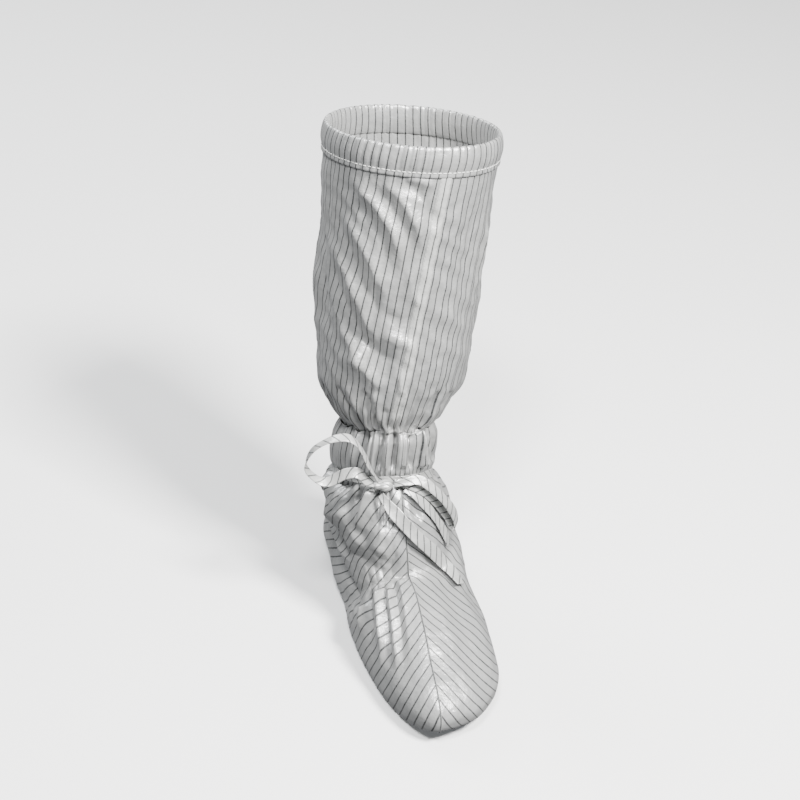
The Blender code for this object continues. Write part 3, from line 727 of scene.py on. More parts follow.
def mesh_from(name, points, faces, uv=None):
    """A mesh from points and corner indices, with a place on the cloth for each corner."""
    mesh = bpy.data.meshes.new(name)
    mesh.from_pydata(points.reshape(-1, 3).tolist(), [], faces.tolist())
    if uv is not None:
        layer = mesh.uv_layers.new(name="cloth")
        layer.data.foreach_set("uv", uv.reshape(-1).astype(np.float32))
    mesh.update()
    return mesh


def tube_faces(rows, columns):
    """Corner indices of the faces of a grid that closes on itself sideways."""
    row, column = np.meshgrid(np.arange(rows - 1), np.arange(columns), indexing="ij")
    following = (column + 1) % columns
    low = row * columns
    high = low + columns
    corners = (low + column, low + following, high + following, high + column)
    return np.stack(corners, -1).reshape(-1, 4)


def tube_uv(uv):
    """Corner places for the faces of a tube, from a grid with one more column than the tube."""
    corners = (uv[:-1, :-1], uv[:-1, 1:], uv[1:, 1:], uv[1:, :-1])
    return np.stack(corners, 2)


def thicken(piece):
    """Give the cloth its thickness, inwards."""
    wall = piece.modifiers.new("wall", "SOLIDIFY")
    wall.thickness = CLOTH_THICKNESS
    wall.offset = -1.0


def swept(name, rings, uv, closed_route):
    """A solid mesh through rings of points along a route, capped unless the route closes."""
    stations, count = rings.shape[:2]
    if closed_route:
        rings = np.concatenate((rings, rings[:1]))
        stations += 1
    faces = tube_faces(stations, count)
    corners = tube_uv(uv)
    if closed_route:
        faces = faces % ((stations - 1) * count)
        return mesh_from(name, rings[:-1], faces, corners)
    mesh = mesh_from(name, rings, faces, corners)
    add_caps(mesh, count, stations)
    return mesh


def add_caps(mesh, count, stations):
    """Close both ends of a swept mesh."""
    shape = bmesh.new()
    shape.from_mesh(mesh)
    shape.verts.ensure_lookup_table()
    first = [shape.verts[k] for k in range(count)]
    last = [shape.verts[(stations - 1) * count + k] for k in range(count)]
    shape.faces.new(first[::-1])
    shape.faces.new(last)
    bmesh.ops.recalc_face_normals(shape, faces=shape.faces)
    shape.to_mesh(mesh)
    shape.free()


# Materials

def new_material(name, colour, roughness):
    """A material with its nodes, its links and its shader."""
    material = bpy.data.materials.new(name)
    material.use_nodes = True
    tree = material.node_tree
    shader = tree.nodes["Principled BSDF"]
    shader.inputs["Base Color"].default_value = (*colour, 1.0)
    shader.inputs["Roughness"].default_value = roughness
    return material, tree, shader


def math_node(tree, operation, *values):
    """A maths node; each value is a socket or a number."""
    node = tree.nodes.new("ShaderNodeMath")
    node.operation = operation
    for socket, value in zip(node.inputs, values):
        if isinstance(value, (int, float)):
            socket.default_value = value
        else:
            tree.links.new(value, socket)
    return node.outputs[0]


def ramp_node(tree, value, low, high, start, end):
    """A value carried from one range to another, with eased ends."""
    node = tree.nodes.new("ShaderNodeMapRange")
    node.interpolation_type = "SMOOTHSTEP"
    tree.links.new(value, node.inputs["Value"])
    node.inputs["From Min"].default_value = low
    node.inputs["From Max"].default_value = high
    node.inputs["To Min"].default_value = start
    node.inputs["To Max"].default_value = end
    return node.outputs["Result"]


def noise_node(tree, scale, detail, vector=None):
    """Noise in the boot's own coordinates, or along a given vector."""
    if vector is None:
        vector = tree.nodes.new("ShaderNodeTexCoord").outputs["Object"]
    node = tree.nodes.new("ShaderNodeTexNoise")
    node.inputs["Scale"].default_value = scale
    node.inputs["Detail"].default_value = detail
    tree.links.new(vector, node.inputs["Vector"])
    return node.outputs["Fac"]


def mix_node(tree, share, first, second):
    """Two colours mixed; each is a socket or a colour."""
    node = tree.nodes.new("ShaderNodeMix")
    node.data_type = "RGBA"
    tree.links.new(share, node.inputs["Factor"])
    for name, value in (("A", first), ("B", second)):
        socket = next(s for s in node.inputs if s.name == name and s.type == "RGBA")
        if isinstance(value, tuple):
            socket.default_value = (*value, 1.0)
        else:
            tree.links.new(value, socket)
    return next(s for s in node.outputs if s.type == "RGBA")


def bump_node(tree, height, strength, distance, below=None):
    """A bump from a height, on top of another bump."""
    node = tree.nodes.new("ShaderNodeBump")
    node.inputs["Strength"].default_value = strength
    node.inputs["Distance"].default_value = distance
    tree.links.new(height, node.inputs["Height"])
    if below is not None:
        tree.links.new(below, node.inputs["Normal"])
    return node.outputs["Normal"]


def cloth_material(name, tone):
    """Satin polyester with thin dark stripes and a fine weave."""
    material, tree, shader = new_material(name, tone.pale, 0.42)
    places = tree.nodes.new("ShaderNodeUVMap")
    places.uv_map = "cloth"
    split = tree.nodes.new("ShaderNodeSeparateXYZ")
    tree.links.new(places.outputs["UV"], split.inputs["Vector"])
    across = split.outputs["X"]
    along = split.outputs["Y"]

    waver = noise_node(tree, 260.0, 1.0, places.outputs["UV"])
    moved = math_node(tree, "MULTIPLY_ADD", waver, STRIPE_WAVER, across)
    turns = math_node(tree, "DIVIDE", moved, STRIPE_PITCH)
    place = math_node(tree, "FRACT", turns)
    off_line = math_node(tree, "ABSOLUTE", math_node(tree, "SUBTRACT", place, 0.5))
    half = 0.5 * STRIPE_WIDTH / STRIPE_PITCH
    line = ramp_node(tree, off_line, 0.6 * half, 1.4 * half, 1.0, 0.0)
    worn = ramp_node(tree, noise_node(tree, 900.0, 2.0, places.outputs["UV"]), 0.3, 0.7, 0.72, 1.0)

    patches = ramp_node(tree, noise_node(tree, 16.0, 3.0), 0.3, 0.7, 0.0, 1.0)
    ground = mix_node(tree, patches, tone.pale, tone.shade)
    colour = mix_node(tree, math_node(tree, "MULTIPLY", line, worn), ground, tone.stripe)
    tree.links.new(colour, shader.inputs["Base Color"])

    gloss = ramp_node(tree, noise_node(tree, 42.0, 4.0), 0.25, 0.75, 0.36, 0.50)
    tree.links.new(gloss, shader.inputs["Roughness"])
    tree.links.new(ramp_node(tree, line, 0.0, 1.0, 0.85, 0.10), shader.inputs["Coat Weight"])
    shader.inputs["Coat Roughness"].default_value = 0.32
    shader.inputs["Coat IOR"].default_value = 2.5
    shader.inputs["Specular IOR Level"].default_value = 0.4
    shader.inputs["Sheen Weight"].default_value = 0.08
    shader.inputs["Sheen Roughness"].default_value = 0.45

    warp = math_node(tree, "SINE", math_node(tree, "MULTIPLY", across, 2.0 * pi / WARP_PITCH))
    weft = math_node(tree, "SINE", math_node(tree, "MULTIPLY", along, 2.0 * pi / WEFT_PITCH))
    weave = bump_node(tree, math_node(tree, "MULTIPLY", warp, weft), 0.20, 0.00006)
    crinkle = bump_node(tree, noise_node(tree, 95.0, 5.0), 1.0, 0.0013, weave)
    tree.links.new(crinkle, shader.inputs["Normal"])
    tree.links.new(crinkle, shader.inputs["Coat Normal"])
    return material


def thread_material(name, colour):
    """Sewing thread with a twist along it."""
    material, tree, shader = new_material(name, colour, 0.55)
    twist = noise_node(tree, 1500.0, 2.0)
    tree.links.new(bump_node(tree, twist, 0.5, 0.0002), shader.inputs["Normal"])
    tone = mix_node(tree, noise_node(tree, 300.0, 2.0), colour, tuple(0.82 * c for c in colour))
    tree.links.new(tone, shader.inputs["Base Color"])
    shader.inputs["Sheen Weight"].default_value = 0.2
    return material


def sole_material():
    """Soft matt sheet with a fine antislip grain of small studs."""
    material, tree, shader = new_material("sole_rubber", (0.42, 0.43, 0.44), 0.72)
    place = tree.nodes.new("ShaderNodeTexCoord").outputs["Object"]
    cells = tree.nodes.new("ShaderNodeTexVoronoi")
    cells.inputs["Scale"].default_value = 340.0
    cells.inputs["Randomness"].default_value = 0.15
    tree.links.new(place, cells.inputs["Vector"])
    stud = ramp_node(tree, cells.outputs["Distance"], 0.2, 0.5, 1.0, 0.0)
    grain = bump_node(tree, noise_node(tree, 900.0, 3.0), 0.3, 0.0002)
    tree.links.new(bump_node(tree, stud, 0.6, 0.0005, grain), shader.inputs["Normal"])
    dust = ramp_node(tree, noise_node(tree, 30.0, 4.0), 0.35, 0.75, 0.0, 1.0)
    tone = mix_node(tree, dust, (0.40, 0.41, 0.42), (0.50, 0.51, 0.51))
    tree.links.new(tone, shader.inputs["Base Color"])
    return material


# Cloth pieces

def spaced_levels(first, last, count):
    """Levels evenly spaced along the front of the boot, closer together near both ends."""
    fine = np.linspace(first, last, 400)
    front = skin(np.zeros(400), fine)
    run = lengths_along(front)
    share = np.linspace(0.0, 1.0, count)
    eased = share - 0.30 * np.sin(2.0 * pi * share) / (2.0 * pi)
    return np.interp(eased * run[-1], run, fine)


def stripe_run(turn):
    """Distance round the shaft from its front seam, at the level where the stripes are set out.

    The stripes are spread to a whole number of pitches, and turns may run past a full one.
    """
    level = float(STRIPE_LEVEL)
    fine = np.linspace(0.0, 2.0 * pi, 721)
    points = skin(fine + shaft_seam_angle(level), level)
    run = lengths_along(points)
    whole = round(run[-1] / STRIPE_PITCH) * STRIPE_PITCH
    rounds = np.floor(turn / (2.0 * pi + 1e-9))
    part = np.interp(turn - 2.0 * pi * rounds, fine, run) * whole / run[-1]
    return part + whole * rounds + 0.5 * STRIPE_PITCH


def casing_puckers(turn):
    """Small uneven tucks that the top elastic makes."""
    return tucks(turn, CASING_GATHER, 0.5, 0.62)


def ankle_pleats(turn):
    """Uneven pleats that the ankle elastic makes."""
    return tucks(turn, ANKLE_GATHER, 0.6)


def ankle_depth(distance):
    """Depth of the ankle's pleats at a distance up or down from its elastic."""
    return ANKLE_PLEATS * (np.exp(-distance / 0.028) + swell(distance, 0.010))


def ankle_scallops(turn, distance):
    """Rise and fall of the ankle's gathered line, which dies away with distance from it."""
    waves = 0.0012 * np.sin(12.0 * turn + 0.6) + 0.0008 * np.sin(21.0 * turn + 2.2)
    return waves * np.exp(-distance / 0.008)


def shaft_relief(points, turn, climb):
    """How far gathers and creases raise the shaft's cloth."""
    hidden = 0.012
    below_casing = climb[-1] - climb - hidden
    middle = smooth_step(climb / 0.03) * smooth_step(below_casing / 0.02)
    relief = ankle_pleats(turn) * ankle_depth(climb)
    relief += CASING_PUCKERS * casing_puckers(turn) * np.exp(-np.clip(below_casing, 0.0, None) / 0.008)
    waves = np.sin(19.0 * turn + 1.1) + np.sin(27.0 * turn + 0.3) + np.sin(41.0 * turn + 2.0)
    relief += SHAFT_FLUTES * middle * waves
    for layer in (SHAFT_SWELL, SHAFT_RIPPLE):
        relief += layer.height * middle * crumple(points, layer)
    from_place = np.abs((turn - FRONT_DRAPE_AT + pi) % (2.0 * pi) - pi)
    height = SHAFT_DRAPE.height + FRONT_DRAPE * np.exp(-((from_place / FRONT_DRAPE_SPREAD) ** 2))
    drape = crumple(points, SHAFT_DRAPE, SHAFT_DRAPE_LEAN, SHAFT_DRAPE_STRAY)
    relief += height * middle * folded(drape)
    relief += SHAFT_CRINKLE.height * middle * folded(crumple(points, SHAFT_CRINKLE))
    sides = np.sin(turn) ** 2 * np.exp(-(((climb - 0.022) / 0.018) ** 2))
    relief -= ANKLE_TAPER * sides
    relief += SHAFT_CREASING * crease_relief(points, SHAFT_CREASES, 0.30, 0.30)
    relief += crease_relief(points, ANKLE_CREASES, 0.16, 0.08)
    return relief


def add_shaft(material):
    """Tall striped tube; its columns follow the front seam, and so do its stripes."""
    columns, rows = SHAFT_GRID
    level = spaced_levels(ANKLE_LEVEL + 0.02, RIM_LEVEL - 0.4, rows)[:, None]
    turn = np.linspace(0.0, 2.0 * pi, columns + 1)[None, :]
    angle = turn + shaft_seam_angle(level)
    points = skin(angle, level)
    normals = outward(skin, angle, level)
    climb = lengths_up(points)
    relief = shaft_relief(points, turn, climb)
    raised = points + normals * relief[..., None]
    raised[..., 2] += ankle_scallops(turn, climb)
    across = np.broadcast_to(stripe_run(turn), climb.shape)
    uv = tube_uv(np.stack((across, climb), -1))
    mesh = mesh_from("shaft_cloth", raised[:, :-1], tube_faces(rows, columns), uv)
    piece = new_piece("shaft_cloth", mesh, material, "cloth", "shaft")
    thicken(piece)
    return piece, raised, normals


def add_top_casing(material):
    """Folded hem over the elastic, with its stripes in line with the shaft's."""
    columns = CASING_COLUMNS
    turn = np.linspace(0.0, 2.0 * pi, columns + 1)
    puckers = casing_puckers(turn)
    rows = []
    for point in CASING_SECTION:
        angle = turn + shaft_seam_angle(point.level)
        inside = point.out < 0.0
        tuck = puckers * (-0.0004 if inside else 0.0010)
        row = off_skin(angle, point.level, point.out + tuck)
        row[:, 2] += point.rise * (1.0 + 0.5 * puckers)
        rows.append(row)
    rows = np.array(rows + rows[:1])
    across = np.broadcast_to(stripe_run(turn), rows.shape[:2])
    uv = tube_uv(np.stack((across, lengths_up(rows)), -1))
    count = len(CASING_SECTION)
    faces = tube_faces(count + 1, columns) % (count * columns)
    mesh = mesh_from("top_casing_cloth", rows[:-1, :-1], faces, uv)
    piece = new_piece("top_casing_cloth", mesh, material, "cloth", "top_casing")
    rounding = piece.modifiers.new("rounding", "SUBSURF")
    rounding.levels = 1
    rounding.render_levels = 1
    return piece


def foot_levels():
    """Levels of the foot's rows, closer together where the cloth is gathered."""
    parts = []
    for (first, count), (last, _) in zip(FOOT_ROWS, FOOT_ROWS[1:]):
        parts.append(spaced_levels(first, last, count + 1)[:-1])
    return np.concatenate(parts + [[float(ANKLE_LEVEL)]])


def tie_relief(angle, above, neck):
    """Pleats on both sides of the tie, and up the neck to the ankle elastic."""
    share = np.clip(above / neck, 0.0, 1.0)
    under_tape = 0.0035
    tie_pleats = tucks(angle, TIE_GATHER, 0.5)
    depth = ankle_depth(neck - above) + NECK_PLEATS
    relief = ankle_pleats(angle - SHAFT_SEAM_TURN[0]) * depth * smooth_step(2.2 * share)
    relief += OVER_TIE_PLEATS * tie_pleats * swell(above - under_tape, 0.006)
    relief += UNDER_TIE_PLEATS * tie_pleats * swell(-above - under_tape, 0.008)
    relief -= NECK_EASE * np.sin(pi * share) ** 2
    return relief


def elastic_relief(points, angle):
    """Puckers on both sides of the instep elastic, and the line that it is sewn along."""
    off = instep_distance(points)
    slope = np.arctan2(INSTEP_FRONT[1] - INSTEP_SIDE[1], INSTEP_FRONT[0] - INSTEP_SIDE[0])
    up = (HEEL_BACK - points[..., 1] - INSTEP_SIDE[0]) * np.cos(slope)
    up = up + (points[..., 2] - INSTEP_SIDE[1]) * np.sin(slope)
    puckers = tucks(np.arctan2(points[..., 0], up), ELASTIC_GATHER)
    pull = instep_fade(points) * smooth_step((radians(120.0) - np.abs(angle)) / radians(30.0))
    pull = pull * (1.0 - 0.85 * smooth_step((angle + radians(4.0)) / radians(5.0)))
    beside = swell(off - 0.001, 0.008) + 0.6 * swell(-off - 0.001, 0.005)
    return pull * (ELASTIC_PUCKERS * puckers * beside - ELASTIC_GROOVE * np.exp(-((off / 0.0022) ** 2)))


def foot_relief(points, angle, level, climb):
    """How far gathers and creases raise the cloth of the foot and the neck."""
    tie = np.array([np.interp(TIE_LEVEL, level[:, 0], column) for column in climb.T])
    above = climb - tie
    relief = tie_relief(angle, above, climb[-1] - tie) + elastic_relief(points, angle)
    relief += EDGE_PUCKERS * tucks(angle, EDGE_GATHER) * np.exp(-climb / 0.006)

    body = smooth_step(climb / 0.012) * smooth_step(-above / 0.02)
    calm = body * (1.0 - TOE_CALM * smooth_step(instep_distance(points) / TOE_CALM_REACH))
    drape = crumple(points, FOOT_DRAPE, FOOT_DRAPE_LEAN, FOOT_DRAPE_STRAY)
    relief += FOOT_SWELL.height * body * crumple(points, FOOT_SWELL)
    relief += FOOT_RIPPLE.height * calm * crumple(points, FOOT_RIPPLE)
    relief += FOOT_DRAPE.height * calm * folded(drape)
    relief += FOOT_CRINKLE.height * calm * folded(crumple(points, FOOT_CRINKLE))

    from_seam = np.linalg.norm(points - points[:, :1], axis=-1)
    keel = smooth_step(climb / 0.010) * smooth_step((-above - 0.025) / 0.035)
    relief += VAMP_RIDGE * keel * np.exp(-from_seam / 0.014)
    relief += FOOT_CREASING * crease_relief(points, FOOT_CREASES, 0.25, 0.35)
    relief += VAMP_CREASING * crease_relief(points, VAMP_CREASES, 0.12, 0.55)
    relief += NECK_CREASING * crease_relief(points, NECK_CREASES, 0.10, 0.20)
    return relief


def laid_out(points, wanted):
    """Values on a grid of points whose slopes come closest to the wanted slope at each point.

    The steps between neighbours are fitted by least squares, with conjugate gradients.
    """
    def between(values, axis):
        first = values[:, :-1] if axis else values[:-1]
        second = values[:, 1:] if axis else values[1:]
        return 0.5 * (first + second)

    def spread(flow_up, flow_round):
        total = np.zeros(points.shape[:2])
        total[:-1] -= flow_up
        total[1:] += flow_up
        total[:, :-1] -= flow_round
        total[:, 1:] += flow_round
        return total

    up = np.linalg.norm(np.gradient(points, axis=0), axis=-1)
    around = np.linalg.norm(np.gradient(points, axis=1), axis=-1)
    weight_up = between(around / up, 0)
    weight_round = between(up / around, 1)
    want_up = np.sum(between(wanted, 0) * np.diff(points, axis=0), axis=-1)
    want_round = np.sum(between(wanted, 1) * np.diff(points, axis=1), axis=-1)

    values = np.zeros(points.shape[:2])
    left = spread(weight_up * want_up, weight_round * want_round)
    heading = left.copy()
    size = np.sum(left * left)
    for _ in range(900):
        pushed = spread(weight_up * np.diff(heading, axis=0), weight_round * np.diff(heading, axis=1))
        step = size / np.sum(heading * pushed)
        values += step * heading
        left -= step * pushed
        following = np.sum(left * left)
        heading = left + following / size * heading
        size = following
    return values


def chevron_places(points, normals, level, planes, heel_planes):
    """Distances across and along the stripes on one half of the foot."""
    heel = smooth_step((points[..., 1] - HEEL_BLEND[0]) / (HEEL_BLEND[1] - HEEL_BLEND[0]))[..., None]
    planes = unit((1.0 - heel) * np.array(planes) + heel * np.array(heel_planes))
    slope = planes - normals * np.sum(normals * planes, axis=-1, keepdims=True)
    steepness = np.linalg.norm(slope, axis=-1, keepdims=True)
    slope = slope * np.maximum(steepness, LEAST_SLOPE) / steepness
    across = laid_out(points, slope)
    along = laid_out(points, np.cross(normals, slope))
    tie = np.argmin(np.abs(level[:, 0] - TIE_LEVEL))
    return np.stack((across - across[tie, 0], along), -1)


def eased_instep(points, angle):
    """The foot's surface with the elastic's corner smoothed away on the outer half.

    The cloth hangs loose there, and the smoothing fades to the front seam and to the side.
    """
    share = smooth_step((angle + radians(3.0)) / radians(9.0))
    share = share * smooth_step((radians(100.0) - angle) / radians(50.0))
    share = 0.5 * share * np.exp(-((instep_distance(points) / 0.026) ** 2))
    eased = points.copy()
    for _ in range(70):
        between = 0.5 * (eased[:-2] + eased[2:])
        eased[1:-1] += share[1:-1, :, None] * (between - eased[1:-1])
    return eased


def add_upper(material):
    """Foot panel in two halves, whose stripes meet in chevrons at the centre seam.

    The shaft's stripes carry on down the neck to the tie.
    """
    level = foot_levels()[:, None]
    columns = FOOT_COLUMNS
    middle = columns // 2
    turn = np.linspace(0.0, 2.0 * pi, columns + 1)[None, :]
    angle = np.where(turn > pi, turn - 2.0 * pi, turn)
    points = eased_instep(skin(turn, level), angle)
    normals = outward(skin, turn, level)
    climb = lengths_up(points)
    relief = foot_relief(points, np.broadcast_to(angle, climb.shape), level, climb)
    raised = points + normals * relief[..., None]
    raised[..., 2] += ankle_scallops(turn - SHAFT_SEAM_TURN[0], climb[-1] - climb)

    halves = (
        (slice(None, middle + 1), OUTER_STRIPES, OUTER_HEEL_STRIPES, OUTER_SPREAD),
        (slice(None, middle - 1, -1), INNER_STRIPES, INNER_HEEL_STRIPES, INNER_SPREAD),
    )
    outer, inner = (
        chevron_places(points[:, half], normals[:, half], level, planes, heel_planes) / spread
        for half, planes, heel_planes, spread in halves
    )
    outer[..., 0] += OUTER_PHASE
    uv = np.concatenate((tube_uv(outer), tube_uv(inner[:, ::-1])), axis=1)
    from_shaft = np.broadcast_to(stripe_run(turn - SHAFT_SEAM_TURN[0]), climb.shape)
    neck_uv = tube_uv(np.stack((from_shaft, climb), -1))
    in_neck = (level[:-1] >= TIE_LEVEL)[..., None, None]
    uv = np.where(in_neck, neck_uv, uv)
    mesh = mesh_from("upper_cloth", raised[:, :-1], tube_faces(len(level), columns), uv)
    piece = new_piece("upper_cloth", mesh, material, "cloth", "upper")
    thicken(piece)
    return piece, raised, normals


# Tape, bow and seams

def smooth_route(points):
    """Points on a smooth curve through a route's own points."""
    points = np.asarray(points, float)
    padded = np.concatenate((points[:1], points, points[-1:]))
    route = []
    for k in range(len(points) - 1):
        before, start, end, after = padded[k:k + 4]
        t = (np.arange(ROUTE_STEPS) / ROUTE_STEPS)[:, None]
        leave = 0.5 * (end - before)
        arrive = 0.5 * (after - start)
        bend = 3.0 * (end - start) - 2.0 * leave - arrive
        twist = leave + arrive - 2.0 * (end - start)
        route.append(start + t * (leave + t * (bend + t * twist)))
    return np.concatenate(route + [points[-1:]])


def tape_section(width=TAPE_WIDTH):
    """Outline of a folded tape, across and through it, round its two edges."""
    turn = np.linspace(0.0, 2.0 * pi, 20, endpoint=False)
    across = np.sign(np.cos(turn)) * np.abs(np.cos(turn)) ** 0.45
    through = np.sign(np.sin(turn)) * np.abs(np.sin(turn)) ** 0.55
    return 0.5 * width * across, 0.5 * TAPE_THICKNESS * through


def tape_uv(run, across):
    """Places on bias-cut tape, where the stripes slant across it."""
    run, across = np.broadcast_arrays(run[:, None], np.append(across, across[:1])[None, :])
    first = run * cos(TAPE_BIAS) + across * sin(TAPE_BIAS)
    second = run * sin(TAPE_BIAS) - across * cos(TAPE_BIAS)
    return np.stack((first, second), -1)


def add_tape(name, centres, sides, material, far_end, node, seed, wide=TAPE_WIDTH):
    """A length of tape along a route, given with the direction of its width at each point."""
    route = smooth_route(centres)
    width = unit(smooth_route(sides))
    ahead = unit(np.gradient(route, axis=0))
    width = unit(width - ahead * np.sum(width * ahead, axis=1, keepdims=True))
    face = np.cross(ahead, width)
    run = lengths_along(route)
    across, through = tape_section(wide)

    draws = np.random.default_rng(seed)
    phases = draws.uniform(0.0, 2.0 * pi, 3)
    cup = 0.0006 * np.sin(run / 0.019 + phases[0])
    ripple = 0.00035 * np.sin(run / 0.0047 + phases[1])
    pinch = 1.0 - 0.10 * (0.5 + 0.5 * np.sin(run / 0.013 + phases[2]))
    pinch = pinch * (0.5 + 0.5 * smooth_step(run / 0.020))
    if far_end == "object":
        pinch = pinch * (0.6 + 0.4 * smooth_step((run[-1] - run) / 0.014))
    edge = across / (0.5 * wide)
    bow = edge ** 2 - 0.4
    lift = cup[:, None] * bow + ripple[:, None] * edge * np.abs(edge) + through
    rings = route[:, None] + width[:, None] * (across * pinch[:, None])[..., None]
    rings = rings + face[:, None] * lift[..., None]
    mesh = swept(name, rings, tape_uv(run, across), False)
    piece = new_piece(name, mesh, material, "tape", node)
    return piece


def knot_centre():
    """Middle of the knot, in front of the tape."""
    return off_skin(KNOT_ANGLE, TIE_LEVEL, KNOT_STAND_OFF)


def add_standing_loop(name, rows, material, node, seed):
    """Bow loop that stands up beside the knot and faces a little to the inner side."""
    across = np.array((cos(LOOP_FACING), sin(LOOP_FACING), 0.0))
    ahead = np.array((sin(LOOP_FACING), -cos(LOOP_FACING), 0.0))
    up = np.array((0.0, 0.0, 1.0))
    knot = knot_centre()
    centres = [knot + across * row.across + up * row.up + ahead * row.ahead for row in rows]
    sides = [ahead * cos(radians(row.roll)) - up * sin(radians(row.roll)) for row in rows]
    return add_tape(name, centres, sides, material, "object", node, seed, TAPE_WIDTH)


def add_lying_tape(name, rows, material, far_end, node, seed, wide=TAPE_WIDTH, turned=0.0):
    """Tape that lies along the cloth, out and, for a loop, back again.

    Its face is flat to the cloth, or is turned by some share towards the toe.
    """
    angle = np.radians([row.angle for row in rows])
    level = np.array([float(row.level) for row in rows])
    centres = off_skin(angle, level, np.array([row.out for row in rows]))
    spread = np.linalg.norm(centres - centres[0], axis=1)
    reach = centres[np.argmax(spread)] - centres[0]
    face = outward(skin, angle, level) + turned * np.array(TOEWARDS)
    sides = unit(np.cross(face, reach))
    return add_tape(name, centres, sides, material, far_end, node, seed, wide)


def add_tie_band(material):
    """Tape pulled tight round the ankle."""
    columns = 240
    turn = np.linspace(0.0, 2.0 * pi, columns + 1)
    across, through = tape_section()
    middle = skin(turn, TIE_LEVEL)
    up = unit(skin(turn, TIE_LEVEL + 0.4) - skin(turn, TIE_LEVEL - 0.4))
    face = outward(skin, turn, TIE_LEVEL)
    run = lengths_along(middle)
    hug = 0.0010 + 0.0003 * np.sin(9.0 * turn + 0.5)
    edge = across / (0.5 * TAPE_WIDTH)
    flare = 0.0009 * (edge ** 2)[None, :] * (0.7 + 0.5 * np.sin(14.0 * turn + 1.0))[:, None]
    lift = hug[:, None] + flare + through
    squeeze = 0.86 + 0.08 * np.sin(5.0 * turn + 2.0)
    rings = middle[:, None] + up[:, None] * (across * squeeze[:, None])[..., None]
    rings = rings + face[:, None] * lift[..., None]
    mesh = swept("tie_band_tape", rings[:-1], tape_uv(run, across), True)
    return new_piece("tie_band_tape", mesh, material, "tape", "tie_band")


def add_knot(material):
    """Flattened knot with the tape wrapped slantwise over it."""
    rows, columns = 40, 56
    polar = np.linspace(0.02, pi - 0.02, rows)[:, None]
    turn = np.linspace(0.0, 2.0 * pi, columns + 1)[None, :]
    wrap = 3.0 * turn + 2.6 * np.cos(polar)
    bulge = 0.90 + 0.24 * np.abs(np.sin(0.5 * wrap)) ** 0.6
    bulge = bulge * (1.0 - 0.22 * np.cos(2.0 * polar + 0.6) ** 4)
    radial = np.sin(polar) ** 0.8 * bulge
    local = np.stack((
        -KNOT_RADII[0] * np.cos(polar) * np.ones_like(turn),
        KNOT_RADII[1] * radial * np.cos(turn),
        KNOT_RADII[2] * radial * np.sin(turn),
    ), -1)
    facing = Matrix.Rotation(LOOP_FACING, 3, "Z") @ Matrix.Rotation(radians(-6.0), 3, "Y")
    points = local @ np.array(facing).T + knot_centre()
    uv = np.stack(np.broadcast_arrays(0.010 * turn + 0.004 * polar, 0.010 * polar), -1)
    mesh = mesh_from("tie_knot_tape", points[:, :-1], tube_faces(rows, columns), tube_uv(uv))
    add_caps(mesh, columns, rows)
    return new_piece("tie_knot_tape", mesh, material, "tape", "tie_knot")


def beside_seam(grid, place):
    """Points of a grid of cloth at fractions of a column to either side of its first column."""
    columns = grid.shape[1] - 1
    whole = np.floor(place).astype(int)
    part = (place - whole)[..., None]
    row = np.arange(len(grid))[:, None]
    return grid[row, whole % columns] * (1.0 - part) + grid[row, (whole + 1) % columns] * part


def add_seam(name, grid, normals, width, profile, rise, line_at, material, node):
    """A raised fold of cloth along the first column of a grid of cloth.

    The profile runs across the fold from -1 to 1, and line_at is where on it a stripe lies.
    """
    column = np.linalg.norm(grid[:, 1] - grid[:, 0], axis=1)
    place = 0.5 * width / column[:, None] * profile
    base = beside_seam(grid, place)
    out = unit(beside_seam(normals, place))
    top = base + out * rise[:, None]
    under = (base - out * SEAM_SUNK)[:, ::-1]
    rings = np.concatenate((top, under), axis=1)
    run = lengths_up(grid[:, :1])
    across = np.concatenate((profile, profile[::-1], profile[:1])) - line_at
    across = 0.5 * width * across + 0.5 * STRIPE_PITCH
    uv = np.stack(np.broadcast_arrays(across[None, :], run), -1)
    mesh = swept(name, rings, uv, False)
    return new_piece(name, mesh, material, "seam", node)


def add_shaft_seam(grid, normals, material):
    """Flat felled seam up the front of the shaft: two low bands with a stitched groove between."""
    profile = np.linspace(-1.0, 1.0, 25)
    rise = 0.0011 * (1.0 - np.abs(profile) ** 10)
    rise = rise - 0.0007 * np.exp(-((profile / 0.10) ** 2))
    return add_seam("shaft_seam_cloth", grid, normals, SHAFT_SEAM_WIDTH, profile, rise, 0.0,
                    material, "shaft_seam")


def add_vamp_seam(grid, normals, material):
    """Narrow closed seam down the centre of the foot, with a dark stripe along it."""
    profile = np.linspace(-1.0, 1.0, 13)
    rise = 0.0006 * (1.0 - np.abs(profile) ** 3) - 0.00015
    return add_seam("vamp_seam_cloth", grid, normals, VAMP_SEAM_WIDTH, profile, rise, 0.1,
                    material, "vamp_seam")


def add_stitches(name, points, normals, stitch, material):
    """A row of separate stitches along a line of points, each a short rounded bead of thread."""
    run = lengths_along(points)
    starts = np.arange(0.0, run[-1] - stitch.length, stitch.length + stitch.gap)
    shares = np.array((0.0, 0.08, 0.3, 0.7, 0.92, 1.0))
    radii = stitch.radius * np.array((0.15, 0.7, 1.0, 1.0, 0.7, 0.15))
    places = starts[:, None] + stitch.length * shares
    centres = np.stack([np.interp(places, run, points[:, axis]) for axis in range(3)], -1)
    out = unit(np.stack([np.interp(places, run, normals[:, axis]) for axis in range(3)], -1))
    ahead = unit(np.gradient(centres, axis=1))
    side = np.cross(ahead, out)
    turn = np.linspace(0.0, 2.0 * pi, 8, endpoint=False)
    ring = side[:, :, None] * np.cos(turn)[:, None] + out[:, :, None] * np.sin(turn)[:, None]
    beads = centres[:, :, None] + ring * radii[:, None, None]
    faces = tube_faces(len(shares), len(turn))
    each = len(shares) * len(turn)
    faces = (faces[None] + each * np.arange(len(starts))[:, None, None]).reshape(-1, 4)
    return new_piece(name, mesh_from(name, beads, faces), material, "seam")


